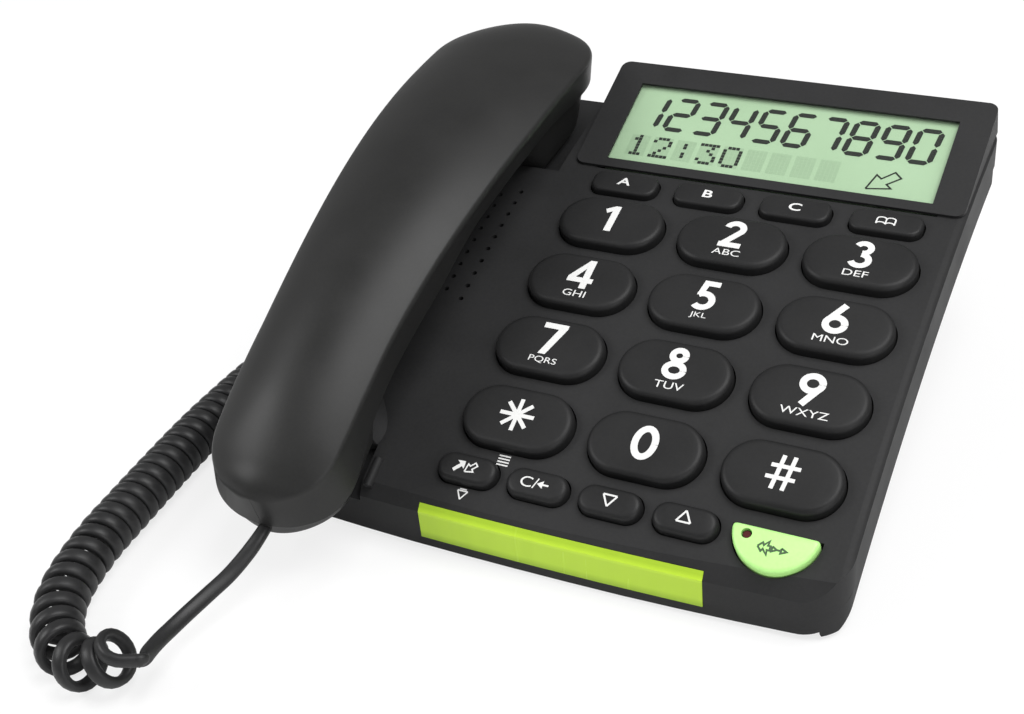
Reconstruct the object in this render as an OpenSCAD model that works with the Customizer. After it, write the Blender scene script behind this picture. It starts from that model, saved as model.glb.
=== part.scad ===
// Big-button corded desk telephone: a wedge-shaped base with an arched deck, a tilted display,
// round-ended keys, a handset lying along the left side, and a curly cord between the two.
// Millimetres. +X is the user's right, +Y is the rear, +Z is up. The origin is on the table,
// below the middle of the base and handset together.

/* [Base] */
// Width of the base
base_w = 176; // [176:1:180]
// Front of the base at the middle, on the Y axis
base_front_y = -69.8; // [-69.8:0.1:-69]
// Rear of the base on the Y axis
base_rear_y = 95.5; // [95:0.1:96]
// Radius of the arched deck
deck_r = 477; // [470:1:485]
// Slope of the deck at the middle of the keypad
deck_tilt = 18; // [17.5:0.1:18.5]
// Height of the deck at the middle of the keypad
deck_mid_z = 40.1; // [39.5:0.1:41]
// Thickness of the plastic walls
wall = 2.2; // [1.8:0.1:2.4]
// Depth of the upper shell's side wall below the deck
top_shell_h = 9; // [8.5:0.1:9.5]
// Depth of the whole arched rim below the deck
rim_h = 12.7; // [12.4:0.1:12.8]
// Height of the underside above the table
ground_gap = 1.2; // [1.1:0.1:1.4]

/* [Display] */
// Width of the display housing
bezel_w = 118.8; // [116:0.1:120]
// Depth of the display housing along its slope
bezel_d = 45; // [44.5:0.1:45.2]
// Slope of the display face
bezel_tilt = 18.9; // [18:0.1:20]
// Width of the display window
window_w = 99.8; // [96:0.1:102]
// Depth of the display window along the slope
window_d = 32.7; // [31:0.1:34]

/* [Keys] */
// Keypad column spacing
key_pitch_x = 37; // [36.5:0.1:37.5]
// Keypad row spacing
key_pitch_y = 24.1; // [23.8:0.1:24.6]
// Width of a digit key
key_w = 32; // [30:0.1:33]
// Depth of a digit key
key_d = 19; // [18:0.1:20]
// Height of a digit key above the deck
key_h = 3.4; // [3:0.1:4]
// Travel of every key
key_travel = 1.2; // [0.8:0.1:1.2]
// Clearance round every key
key_gap = 0.4; // [0.3:0.05:0.5]

/* [Handset] */
// Line of the handset's middle on the X axis
handset_x = -60.3; // [-61:0.1:-60]
// Half width of the grip
grip_half_w = 20.1; // [19.5:0.1:21]
// Half width of the ear end
ear_half_w = 26.5; // [25:0.1:27]
// Half width of the mouth end
mouth_half_w = 21.8; // [21:0.1:22.5]
// Bow radius of the handset's long edge
handset_bow_r = 312; // [300:1:330]
// Height of the side wall of the handset's upper shell
handset_wall_h = 10.5; // [9:0.1:12]
// Height of the crown above the long edges
handset_crown = 6.5; // [5:0.1:8]

/* [Cord] */
// Diameter of the cord
cord_d = 3; // [2.8:0.1:3]
// Outer diameter of the curls
curl_od = 14.2; // [13.8:0.1:14.4]
// Length along the curly stretch that one tight curl takes
curl_pitch = 4.45; // [4.4:0.05:4.6]

/* [Hidden] */
slack = 0.01;
round_fn = 48;
arc_fn = 720;

// Colours
shell_black = [0.10, 0.10, 0.11];
key_black = [0.07, 0.07, 0.08];
print_white = [0.90, 0.90, 0.88];
lens_green = [0.72, 0.85, 0.10];
key_green = [0.55, 0.93, 0.35];
lcd_green = [0.62, 0.78, 0.60];
board_green = [0.10, 0.35, 0.18];
steel_grey = [0.70, 0.70, 0.72];
brass_gold = [0.80, 0.68, 0.35];
rubber_grey = [0.25, 0.25, 0.26];
clear_grey = [0.80, 0.84, 0.86];

// Deck: an arc about a line along X
deck_axis_y = deck_r * sin(deck_tilt) - 7.9;
deck_axis_z = deck_mid_z - deck_r * cos(deck_tilt);
deck_rear_angle = 4;
deck_front_angle = 28;
edge_r = 2.3;
front_bow_r = 1549;
front_corner_r = 12;
rear_corner_r = 5;
lower_inset = 11;
lower_front_inset = 4;
front_bevel_z = 13.1;
front_bevel_run = 0.8;
keypad_x = 28;

// Display
bezel_front_y = 51.4;
bezel_front_z = 56.15;
bezel_corner_r = 3;
bezel_plate = 2.6;
window_front = 3.4;
window_recess = 0.8;

// Small keys
memory_pitch = 26.4;
memory_s = 53.9;
memory_w = 20.8;
memory_d = 9;
memory_r = 3.6;
memory_h = 2.35;
function_s = -53.7;
function_w = 17.5;
function_d = 8.5;
function_h = 3;
function_x = [-45, -24.4, -3.8, 16.8];
speaker_key_x = 40;
speaker_key_s = -50.8;
speaker_key_half_w = 11.3;
speaker_key_d = 11.2;
speaker_key_h = 2.4;
key_bevel = 1.6;
key_flange = 1.1;
key_flange_depth = 2.5;
stem_clearance = 0.4;

// Light strip along the front edge
strip_x0 = -27.6;
strip_x1 = 52.8;
strip_floor_z = 4.3;
strip_t = 1.6;
strip_window = 1.8;

// Cradle
ear_x0 = -85;
ear_x1 = -35;
ear_s0 = 56.8;
ear_s1 = 108;
ear_depth = 7.5;
mouth_x0 = -85;
mouth_x1 = -46;
mouth_s1 = -52;
mouth_depth = 3.5;
hump_y = -50;
hump_z = 16;
hump_r = 14;
hump_front_y = -56.4;
hump_x0 = -80;
hump_x1 = -52;
hump_end_w = 8;
hump_end_drop = 8;
speaker_hole_x = [-42.7, -48.6, -54.5, -60.4, -66.3];
speaker_hole_s0 = 0;
speaker_hole_step = 5;
speaker_hole_n = 10;
speaker_hole_d = 1.5;
speaker_s = 22;
speaker_x = -56;

// Handset frame: a slanted line along the left side of the base
handset_y = -2;
handset_z = 70;
handset_tilt = 14;
mouth_t = -101.8;
ear_t = 95.4;
handset_wall = 2;
grip_depth = 5.5;
mouth_bottom_h = -32;
notch_lift = 0.7;
notch_t = -94;
ear_bottom_h = -34.4;
ear_bottom_slope = 0.07;
handset_steps = 44;
handset_screw_t = [-44, 35.5];
handset_screw_r = 1.2;
handset_head_r = 2.6;
handset_head_h = 1;
handset_post_r = 3.2;
handset_post_top = 2.2;
weight_t = 9;
weight_len = 40;
receiver_t = 68;
microphone_t = -81;
plug_t = mouth_t + 7;
plug_h = -28.9;
plug_w = 7.6;
plug_thick = 3.6;

// Bottom fittings
screw_places = [[-66, -28], [46.5, -31], [-70, 62], [60, 78]];
boss_r = 3.6;
screw_r = 1.5;
screw_head_r = 3;
screw_head_h = 1.8;
screw_len = 12;
foot_r = 5.5;
foot_x = 70;
foot_y = [-51, 77];
bay_x0 = -14;
bay_y0 = -4;
bay_w = 46;
bay_d = 62;
bay_top_z = 16.5;
cell_r = 5.2;
cell_len = 44.5;
cover_travel = 12;
ringer_x = 66;
ringer_z = 55.2;
cover_t = 1.8;
cover_slot_h = 3.4;
cell_y0 = bay_y0 + cover_travel;
cell_z = 9.6;
cell_pitch = 11.4;

// Circuit board: a flat board below the arched deck
board_drop = 12.6;
board_t = 1.6;
board_x0 = -22;
board_w = 95;
board_s0 = -58;
board_d = 116;
board_posts = [[9.5, -24.1], [9.5, 24.1], [46.5, 0], [46.5, 24.1]];
post_r = 3;
membrane_drop = 11.4;

// Hook switch
hook_x = -59;
hook_y = 72;
hook_r = 3.6;
hook_gap = 0.3;

// Cord
jack_y = 12;
jack_z = 8.5;
lead_sides = 8;
curl_sides = 6;
curl_rings = 8;
handset_lead_route = [
    [-60.3, -91.4, 17.9], [-60.3, -96.3, 16.7], [-61.3, -101.5, 14.6], [-63.2, -108, 12.2], [-65.4, -115, 10.8],
    [-67.1, -122, 10], [-67.8, -128, 10], [-67.8, -133, 10.6], [-67.2, -137.6, 11.4], [-66.4, -141, 12]
];
base_lead_route = [
    [-86.6, 12, 8.5], [-91, 12, 8.5], [-94.5, 11.6, 8.3], [-97.5, 10, 8], [-99.7, 7.4, 7.7], [-101.2, 4.4, 7.4],
    [-102.5, 1, 7.3]
];
curl_route = [
    [-72.4, -139.4, 15.6], [-73.6, -140.1, 12.2], [-76.4, -141.8, 9.1], [-81.2, -144, 7.5], [-87.4, -144.4, 7.3],
    [-95, -140.2, 7.3], [-101.4, -132.8, 7.3], [-106.3, -122, 7.3], [-109.4, -106, 7.3],
    [-110.3, -91, 7.3], [-111, -73, 7.3], [-111.3, -56, 7.3], [-110.8, -42, 7.3],
    [-109.5, -26, 7.3], [-106.5, -10, 7.3], [-102.5, 1, 7.3]
];

// Curls are wide open at the loop's front end and close further along
curl_start_angle = 184;
curl_end_run = 7;
lead_in = 2;
open_turns = 3;
open_pitch = 8;
half_open_turns = 4;
half_open_pitch = 5.8;
loose_turns = 4;
loose_pitch = 5.2;
straight_run = 3.2;
straight_lead = 1;

function clamp01(x) = max(0, min(1, x));
function ease(x) = let (c = clamp01(x)) c * c * (3 - 2 * c);
function unit(v) = v / norm(v);
function mix(a, b, k) = a + (b - a) * k;

// A place on the deck: s millimetres up the slope from the middle of the keypad
function deck_angle(s) = deck_tilt - s / deck_r * 180 / PI;
function deck_y(s) = deck_axis_y - deck_r * sin(deck_angle(s));
function deck_z(s) = deck_axis_z + deck_r * cos(deck_angle(s));

module on_deck(x, s, h = 0) {
    translate([x, deck_y(s), deck_z(s)]) rotate([deck_angle(s), 0, 0]) translate([0, 0, h]) children();
}

// Turns a flat (radius, X) outline about the deck's axis, between two slopes
module turn_about_deck_axis(a0, a1) {
    translate([0, deck_axis_y, deck_axis_z])
        rotate([90, 0, 90])
            rotate([0, 0, 90 + a0])
                rotate_extrude(angle = a1 - a0, $fn = arc_fn) children();
}

// A block that follows the arc, between two depths below the deck
module arc_block(x0, x1, s0, s1, d0, d1) {
    turn_about_deck_axis(deck_angle(s1), deck_angle(s0))
        translate([deck_r - d1, x0]) square([d1 - d0, x1 - x0]);
}

// Plan of the base, with a bowed front and round corners, inset at the sides and rear and at the front
module base_plan(inset, front_inset) {
    half = base_w / 2 - inset;
    y1 = base_rear_y - inset;
    bow_y = base_front_y + front_bow_r;
    bow_r = front_bow_r - front_inset;
    rf = max(front_corner_r - max(inset, front_inset), 1);
    rr = max(rear_corner_r - inset, 0.5);
    corner_y = bow_y - sqrt(pow(bow_r - rf, 2) - pow(half - rf, 2));
    intersection() {
        translate([0, bow_y]) circle(r = bow_r, $fn = arc_fn * 2);
        translate([rf - half, -base_w]) square([2 * half - 2 * rf, base_w + corner_y + 1]);
    }
    translate([-half, corner_y]) square([2 * half, y1 - rr - corner_y]);
    translate([rr - half, y1 - rr - slack]) square([2 * half - 2 * rr, rr + slack]);
    for (side = [-1, 1]) {
        translate([side * (half - rf), corner_y]) circle(r = rf, $fn = round_fn);
        translate([side * (half - rr), y1 - rr]) circle(r = rr, $fn = round_fn);
    }
}

// Section of the arched slab, as radius and X, with rounded upper edges; the plan trims its sides
module slab_section(inset, top, bottom) {
    side_spare = 1;
    half = base_w / 2 - inset + side_spare;
    r = edge_r + side_spare;
    outer_r = deck_r - top;
    translate([deck_r - bottom, -half]) square([bottom - top - r, 2 * half]);
    translate([deck_r - bottom, -half + r]) square([bottom - top, 2 * half - 2 * r]);
    for (side = [-1, 1]) {
        translate([outer_r - r, side * (half - r)]) circle(r = r, $fn = round_fn);
    }
}

// Arched slab between two depths below the deck, inset from the outside
module slab(inset, top, bottom) {
    low_z = -5;
    top_z = 90;
    r = front_bow_r - inset;
    intersection() {
        turn_about_deck_axis(deck_rear_angle, deck_front_angle) slab_section(inset, top, bottom);
        translate([0, 0, low_z]) linear_extrude(top_z - low_z) base_plan(inset, inset);
        translate([0, base_front_y + front_bow_r, low_z])
            cylinder(r1 = r + (front_bevel_z - low_z) * front_bevel_run,
                     r2 = r - (top_z - front_bevel_z) * front_bevel_run,
                     h = top_z - low_z, $fn = arc_fn * 2);
    }
}

// Round-ended outline, w wide and d deep
module pill(w, d) {
    square([w - d, d], center = true);
    for (side = [-1, 1]) translate([side * (w - d) / 2, 0]) circle(d = d, $fn = round_fn);
}

// Rounded rectangle outline, centred
module round_box(w, d, r) {
    square([w - 2 * r, d], center = true);
    square([w, d - 2 * r], center = true);
    for (x = [-1, 1], y = [-1, 1]) {
        translate([x * (w / 2 - r), y * (d / 2 - r)]) circle(r = r, $fn = round_fn);
    }
}

// Half-moon outline of the hands-free key, with its straight edge at the rear
module half_moon(grow = 0) {
    w = speaker_key_half_w + grow;
    d = speaker_key_d + grow;
    r = (w * w + d * d) / (2 * d);
    intersection() {
        translate([0, r - d]) circle(r = r, $fn = 2 * round_fn);
        translate([-w, -d]) square([2 * w, d + grow]);
    }
}

// Round-ended block whose upper rim is bevelled
module bevelled_pill(w, d, h, bevel) {
    linear_extrude(h - bevel) pill(w, d);
    translate([0, 0, h - bevel]) {
        for (side = [-1, 1]) {
            translate([side * (w - d) / 2, 0, 0])
                cylinder(r1 = d / 2, r2 = d / 2 - bevel, h = bevel, $fn = round_fn);
        }
        translate([-(w - d) / 2, 0, 0]) rotate([90, 0, 90])
            linear_extrude(w - d)
                polygon([[-d / 2, 0], [d / 2, 0], [d / 2 - bevel, bevel], [bevel - d / 2, bevel]]);
    }
}

// Where each key sits: [X, s]
function digit_place(col, row) = [keypad_x + (col - 1) * key_pitch_x, (1.5 - row) * key_pitch_y];
function memory_place(i) = [keypad_x + (i - 1.5) * memory_pitch, memory_s];
function function_place(i) = [keypad_x + function_x[i], function_s];

// A key's stem ends just above the flat membrane, which is nearest to the deck at its two ends
module key_stem(s, d) {
    depth = membrane_drop - s * s / (2 * deck_r) - key_travel - stem_clearance;
    translate([0, 0, -depth]) cylinder(d = d, h = depth - key_flange_depth, $fn = round_fn);
}

module digit_key(col, row) {
    p = digit_place(col, row);
    color(key_black) on_deck(p[0], p[1]) {
        translate([0, 0, -key_flange_depth]) bevelled_pill(key_w, key_d, key_h + key_flange_depth, key_bevel);
        translate([0, 0, -key_flange_depth - key_flange])
            linear_extrude(key_flange) pill(key_w + 2, key_d + 2);
        key_stem(p[1], 9);
    }
}

module memory_key(i) {
    p = memory_place(i);
    color(key_black) on_deck(p[0], p[1]) {
        translate([0, 0, -key_flange_depth])
            linear_extrude(memory_h + key_flange_depth - 0.6) round_box(memory_w, memory_d, memory_r);
        translate([0, 0, memory_h - 0.6 - slack])
            linear_extrude(0.6 + slack) round_box(memory_w - 1.2, memory_d - 1.2, memory_r - 0.6);
        translate([0, 0, -key_flange_depth - key_flange])
            linear_extrude(key_flange) round_box(memory_w + 1.6, memory_d + 1.6, memory_r);
        key_stem(p[1], 5);
    }
}

module function_key(i) {
    p = function_place(i);
    color(key_black) on_deck(p[0], p[1]) {
        translate([0, 0, -key_flange_depth])
            bevelled_pill(function_w, function_d, function_h + key_flange_depth, 1.2);
        translate([0, 0, -key_flange_depth - key_flange])
            linear_extrude(key_flange) pill(function_w + 1.6, function_d + 1.6);
        key_stem(p[1], 5);
    }
}

module speaker_key() {
    color(key_green) on_deck(keypad_x + speaker_key_x, speaker_key_s) difference() {
        union() {
            translate([0, 0, -key_flange_depth])
                linear_extrude(speaker_key_h + key_flange_depth - 0.6) half_moon();
            translate([0, 0, speaker_key_h - 0.6 - slack]) linear_extrude(0.6 + slack) half_moon(-0.7);
            translate([0, 0.7, -key_flange_depth - key_flange]) linear_extrude(key_flange) half_moon(0.8);
            translate([0, -5.5, 0]) key_stem(speaker_key_s - 5.5, 5);
        }
        translate([-7, -2.6, -8]) cylinder(d = 2.8, h = 14, $fn = round_fn);
    }
}

module speaker_led() {
    color("darkred") on_deck(keypad_x + speaker_key_x - 7, speaker_key_s)
        translate([0, -2.6, -9.4]) cylinder(d = 2, h = 11, $fn = round_fn);
}

// Everything that the keys and their clearances take out of the deck
module key_holes() {
    deep = 12;
    for (col = [0:2], row = [0:3]) {
        p = digit_place(col, row);
        on_deck(p[0], p[1], -deep / 2) linear_extrude(deep) pill(key_w + 2 * key_gap, key_d + 2 * key_gap);
    }
    for (i = [0:3]) {
        m = memory_place(i);
        on_deck(m[0], m[1], -deep / 2)
            linear_extrude(deep) round_box(memory_w + 2 * key_gap, memory_d + 2 * key_gap, memory_r + key_gap);
        f = function_place(i);
        on_deck(f[0], f[1], -deep / 2) linear_extrude(deep) pill(function_w + 2 * key_gap, function_d + 2 * key_gap);
    }
    on_deck(keypad_x + speaker_key_x, speaker_key_s, -deep / 2) linear_extrude(deep) half_moon(key_gap);
}

// Staggered columns of small holes over the loudspeaker
module speaker_holes() {
    for (c = [0:len(speaker_hole_x) - 1], i = [0:speaker_hole_n - 1 - c % 2]) {
        on_deck(speaker_hole_x[c], speaker_hole_s0 + (i + (c % 2) / 2) * speaker_hole_step, -6)
            cylinder(d = speaker_hole_d, h = 12, $fn = 24);
    }
}

// Turns a (radius, Z) outline along the bowed front, over the light strip's length
module along_front(grow) {
    a0 = asin((strip_x0 - grow) / front_bow_r);
    a1 = asin((strip_x1 + grow) / front_bow_r);
    translate([0, base_front_y + front_bow_r, 0])
        rotate([0, 0, a0 - 90]) rotate_extrude(angle = a1 - a0, $fn = 2 * arc_fn) children();
}

// What the light strip takes out of the front edge, with a window for its lights
module strip_region() {
    along_front(0.1)
        translate([front_bow_r - strip_t - 0.1, strip_floor_z - 0.1]) square([strip_t + 2, 20]);
    along_front(-strip_window)
        translate([front_bow_r - wall - 1, strip_floor_z + strip_window + 1.6])
            square([wall, front_bevel_z - strip_floor_z - 2 * strip_window - 0.8]);
}

module hump() {
    end_r = hump_r - hump_end_drop;
    intersection() {
        translate([0, hump_y, hump_z]) {
            translate([hump_x0, 0, 0]) rotate([0, 90, 0])
                cylinder(r = hump_r, h = hump_x1 - hump_x0, $fn = 2 * round_fn);
            translate([hump_x1 - slack, 0, 0]) rotate([0, 90, 0])
                cylinder(r1 = hump_r, r2 = end_r, h = hump_end_w, $fn = 2 * round_fn);
            translate([hump_x0 - 3 + slack, 0, 0]) rotate([0, 90, 0])
                cylinder(r1 = end_r, r2 = hump_r, h = 3, $fn = 2 * round_fn);
        }
        translate([-base_w / 2, hump_front_y, 19]) cube([base_w, 30, 20]);
    }
}

module boss(x, y) {
    s_top = 60;
    translate([x, y, ground_gap + wall + 5.2]) cylinder(r = boss_r, h = s_top, $fn = round_fn);
}

module base_top_shell() {
    color(shell_black) difference() {
        union() {
            difference() {
                slab(0, 0, top_shell_h);
                slab(wall, wall, top_shell_h + 20);
            }
            intersection() {
                slab(0, 0, rim_h + 40);
                union() {
                    arc_block(ear_x0 - 2, ear_x1 + 2, ear_s0 - 2, ear_s1 + 4, 0, ear_depth + 2);
                    arc_block(mouth_x0 - 2, mouth_x1 + 2, -80, mouth_s1 + 2, 0, mouth_depth + 2);
                    for (p = screw_places) boss(p[0], p[1]);
                }
            }
            hump();
            on_deck(mouth_x1 + 2.2, mouth_s1 - 8.3, 0) rotate([90, 0, 0])
                cylinder(r = 1.3, h = 8.5, center = true, $fn = 24);
            for (p = board_posts) {
                board_frame(-board_drop) translate([p[0], p[1], 0])
                    cylinder(r = post_r, h = board_drop - wall + 0.6, $fn = round_fn);
            }
        }
        for (p = board_posts) {
            board_frame(-board_drop - 1) translate([p[0], p[1], 0]) cylinder(r = 1.3, h = 6, $fn = 32);
        }
        intersection() {
            translate([hump_x0 + 1, hump_y, hump_z]) rotate([0, 90, 0])
                cylinder(r = hump_r - wall, h = hump_x1 - hump_x0 - 2, $fn = 2 * round_fn);
            translate([-base_w / 2, hump_front_y + wall, 10]) cube([base_w, 40, 30]);
        }
        arc_block(ear_x0, ear_x1, ear_s0, ear_s1, -20, ear_depth);
        arc_block(mouth_x0, mouth_x1, -80, mouth_s1, -20, mouth_depth);
        translate([hook_x, hook_y, 20]) cylinder(r = hook_r + hook_gap, h = 60, $fn = round_fn);
        for (p = screw_places) {
            translate([p[0], p[1], ground_gap]) cylinder(r = screw_r + 0.05, h = screw_len + 6, $fn = round_fn);
        }
        key_holes();
        speaker_holes();
        strip_region();
        arc_block(keypad_x - 52, keypad_x + 52, 61, 84, -10, wall + 2);
        translate([ringer_x + 2, base_rear_y, ringer_z]) cube([8.6, 12, 4.2], center = true);
    }
}

// Upright block inside the rim, from a height upwards
module lower_prism(inset, floor_z) {
    translate([0, 0, floor_z]) linear_extrude(80) base_plan(lower_inset + inset, lower_front_inset + inset);
}

// Lower body that stands inside the rim and reaches down to the table
module lower_body() {
    intersection() {
        lower_prism(0, ground_gap);
        turn_about_deck_axis(deck_rear_angle, deck_front_angle)
            translate([deck_r - 80, -base_w / 2]) square([80 - top_shell_h - 0.3, base_w]);
    }
}

// Battery space, with a shallow slot in front of it that the cover slides into
module battery_bay(grow) {
    translate([bay_x0 - grow, cell_y0 - grow, 0])
        cube([bay_w + 2 * grow, bay_d - cover_travel + 2 * grow, bay_top_z + grow]);
    translate([bay_x0 - grow, bay_y0 - grow, 0])
        cube([bay_w + 2 * grow, cover_travel + 2 * grow + slack, cover_slot_h + grow]);
}

module base_bottom_shell() {
    color(shell_black) difference() {
        union() {
            difference() {
                union() {
                    intersection() {
                        slab(0.3, top_shell_h + 0.3, rim_h);
                        translate([-base_w, -base_w, ground_gap]) cube([2 * base_w, 2 * base_w, 90]);
                    }
                    lower_body();
                }
                lower_prism(wall, ground_gap + wall);
            }
            for (p = screw_places) {
                translate([p[0], p[1], ground_gap]) cylinder(r = screw_head_r + 2, h = wall + 5, $fn = round_fn);
            }
            translate([0, 0, ground_gap]) intersection() {
                translate([-base_w, -base_w, 0]) cube([2 * base_w, 2 * base_w, 90]);
                battery_bay(1.6);
            }
        }
        for (p = screw_places) {
            translate([p[0], p[1], 0]) cylinder(r = screw_r + 0.2, h = 12, $fn = round_fn);
            translate([p[0], p[1], 0])
                cylinder(r = screw_head_r + 0.3, h = ground_gap + screw_head_h + 2, $fn = round_fn);
        }
        battery_bay(0);
        translate([-base_w / 2, jack_y, jack_z]) cube([2 * lower_inset + 8, 14.4, 10], center = true);
        translate([20, base_rear_y, 16]) cube([16.4, 2 * lower_inset + 8, 14.4], center = true);
        arc_block(ear_x0 - 2.3, ear_x1 + 2.3, ear_s0 - 2.3, ear_s1 + 5, 0, ear_depth + 2.3);
        strip_region();
    }
}

// Wedge-shaped housing in the display's own slope: Y along the slope, Z out of the face
module bezel_frame() {
    translate([keypad_x, bezel_front_y, bezel_front_z]) rotate([bezel_tilt, 0, 0]) children();
}

module bezel_wedge(inset) {
    intersection() {
        bezel_frame() translate([0, bezel_d / 2, -30])
            linear_extrude(30 - inset) round_box(bezel_w - 2 * inset, bezel_d - 2 * inset, max(bezel_corner_r - inset, 0.6));
        turn_about_deck_axis(deck_rear_angle, deck_front_angle)
            translate([deck_r + 0.02, keypad_x - bezel_w]) square([40, 2 * bezel_w]);
        translate([keypad_x - bezel_w, 0, 0]) cube([2 * bezel_w, base_rear_y - 0.3 - inset, 90]);
    }
}

module display_bezel() {
    color(shell_black) difference() {
        bezel_wedge(0);
        intersection() {
            bezel_wedge(1.8);
            bezel_frame() translate([0, bezel_d / 2, -30 - bezel_plate])
                cube([bezel_w, bezel_d, 60], center = true);
        }
        bezel_frame() translate([0, window_front + window_d / 2, 0])
            cube([window_w, window_d, 2 * bezel_plate + 4], center = true);
        bezel_frame() translate([0, window_front + window_d / 2, -window_recess - 20])
            cube([window_w + 2.4, window_d + 2.4, 40], center = true);
    }
}

module lcd_window() {
    color(clear_grey, 0.4) bezel_frame() translate([0, window_front + window_d / 2, -window_recess - 0.5])
        cube([window_w + 2, window_d + 2, 1], center = true);
}

module lcd_panel() {
    color(lcd_green) bezel_frame() translate([0, window_front + window_d / 2, -window_recess - 1 - 1.2])
        cube([window_w + 2, window_d + 2, 2.4], center = true);
}

// Frame of the circuit board's plane, tangent to the middle of the deck
module board_frame(h) {
    on_deck(0, 0, h) children();
}

// Upright holes that let the screw bosses pass, seen from the board's frame at height h
module boss_holes(h) {
    translate([0, 0, -h]) rotate([-deck_tilt, 0, 0]) for (p = screw_places) {
        translate([p[0], p[1] - deck_y(0), -deck_mid_z])
            cylinder(r = boss_r + 0.6, h = 2 * deck_mid_z, $fn = round_fn);
    }
}

module main_circuit_board() {
    color(board_green) board_frame(-board_drop - board_t) difference() {
        translate([board_x0, board_s0, 0]) cube([board_w, board_d, board_t]);
        for (p = board_posts) translate([p[0], p[1], -1]) cylinder(r = 1.4, h = 4, $fn = 32);
        boss_holes(-board_drop - board_t);
    }
}

module board_screws() {
    color(steel_grey) board_frame(-board_drop - board_t) {
        for (p = board_posts) {
            translate([p[0], p[1], 0]) cylinder(r = 1.25, h = board_t + 4, $fn = 32);
            translate([p[0], p[1], -1.4]) cylinder(r = 2.4, h = 1.4, $fn = 32);
        }
    }
}

module keypad_membrane() {
    color(rubber_grey) board_frame(-membrane_drop - 1.2) difference() {
        translate([board_x0 + 1, board_s0 + 2, 0]) cube([board_w - 2, board_d - 2.5, 1.2]);
        for (p = board_posts) translate([p[0], p[1], -1]) cylinder(r = post_r + 0.4, h = 4, $fn = 32);
        translate([keypad_x + speaker_key_x - 7, speaker_key_s - 1.8, 0]) cylinder(r = 2.6, h = 8, center = true, $fn = 32);
        boss_holes(-membrane_drop - 1.2);
    }
}

module base_loudspeaker() {
    color(rubber_grey) on_deck(speaker_x, speaker_s, -wall - 1.2 - 9) {
        translate([0, 0, 5]) difference() {
            cylinder(r = 20, h = 4, $fn = 2 * round_fn);
            translate([0, 0, 2.5]) cylinder(r = 17.5, h = 4, $fn = 2 * round_fn);
        }
        cylinder(r = 11, h = 5, $fn = 2 * round_fn);
    }
}

module ring_indicator_lens() {
    color(lens_green, 0.85) along_front(0) polygon([
        [front_bow_r - strip_t, strip_floor_z], [front_bow_r, strip_floor_z], [front_bow_r, front_bevel_z],
        [front_bow_r - strip_t, front_bevel_z + strip_t / front_bevel_run]
    ]);
}

module ring_indicator_leds() {
    color(board_green) translate([strip_x0 + 6, -64.8, 7.8]) {
        cube([strip_x1 - strip_x0 - 12, 1.2, 5.6]);
        for (x = [8, 26, 42, 60]) translate([x, -1.2, 1.2]) cube([3, 1.2 + slack, 3]);
    }
}

module hook_plunger() {
    color(key_black) translate([hook_x, hook_y, 0]) {
        translate([0, 0, 43]) cylinder(r = hook_r, h = 7.8, $fn = round_fn);
        translate([0, 0, 39]) cylinder(r = hook_r - 1.2, h = 5 + slack, $fn = round_fn);
        translate([0, 0, 42]) cylinder(r = hook_r + 1.2, h = 1.6, $fn = round_fn);
    }
}

module hook_switch() {
    color(steel_grey) translate([hook_x, hook_y, 0]) {
        difference() {
            translate([-6, -6, 22]) cube([12, 12, 12]);
            translate([0, 0, 24]) cylinder(r = 4.6, h = 11, $fn = round_fn);
        }
    }
}

module hook_spring() {
    spring_r = 3.4;
    wire_r = 0.4;
    turns = 6;
    per_turn = 8;
    z0 = 24.5;
    z1 = 41.4;
    rings = turns * per_turn;
    path = [for (i = [0:rings]) [
        hook_x + spring_r * cos(i * 360 / per_turn),
        hook_y + spring_r * sin(i * 360 / per_turn),
        mix(z0 + wire_r, z1 - wire_r, i / rings)
    ]];
    side = [for (i = [0:rings]) [cos(i * 360 / per_turn), sin(i * 360 / per_turn), 0]];
    color(steel_grey) tube(path, side, wire_r, 4);
}

module line_jack() {
    color(rubber_grey) translate([20, base_rear_y - lower_inset - 7, 16]) difference() {
        cube([16, 14, 14], center = true);
        translate([0, 5, 0]) cube([11.8, 10, 7], center = true);
        translate([0, 5, -4]) cube([6.2, 10, 4], center = true);
    }
}

module base_cord_jack() {
    color(rubber_grey) translate([-base_w / 2 + lower_inset + 6, jack_y, jack_z]) difference() {
        cube([12, 14, 9.6], center = true);
        translate([-2.5, 0, 0]) cube([10, 8, 7], center = true);
    }
}

module ringer_switch() {
    color(key_black) translate([ringer_x, base_rear_y - wall, ringer_z]) {
        translate([-2, -0.4, -1.8]) cube([4, wall + 0.8, 3.6]);
        translate([-8, -1.8, -2.6]) cube([16, 1.5, 5.2]);
    }
}

module battery_cover() {
    color(shell_black) difference() {
        translate([bay_x0 + 0.4, cell_y0 + 0.4, ground_gap])
            cube([bay_w - 0.8, bay_d - cover_travel - 0.8, cover_t]);
        translate([bay_x0 + bay_w / 2, bay_y0 + bay_d - 8, 0]) cylinder(r = 5, h = ground_gap + 0.6, $fn = round_fn);
    }
}

module battery_cells() {
    color(brass_gold) for (i = [0:3]) {
        translate([bay_x0 + 5.8 + i * cell_pitch, cell_y0 + 3.4, cell_z]) rotate([-90, 0, 0]) {
            cylinder(r = cell_r, h = cell_len - 2, $fn = round_fn);
            translate([0, 0, cell_len - 2 - slack]) cylinder(r = 1.9, h = 1, $fn = round_fn);
        }
    }
}

module battery_contacts() {
    color(steel_grey) for (i = [0:3], y = [cell_y0 + 1.6, bay_y0 + bay_d - 1.6]) {
        translate([bay_x0 + 5.8 + i * cell_pitch, y, cell_z]) cube([8, 3, 8], center = true);
    }
}

module rubber_feet() {
    color(rubber_grey) for (x = [-foot_x, foot_x], y = foot_y) {
        translate([x, y, 0]) cylinder(r = foot_r, h = ground_gap, $fn = round_fn);
    }
}

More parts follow.
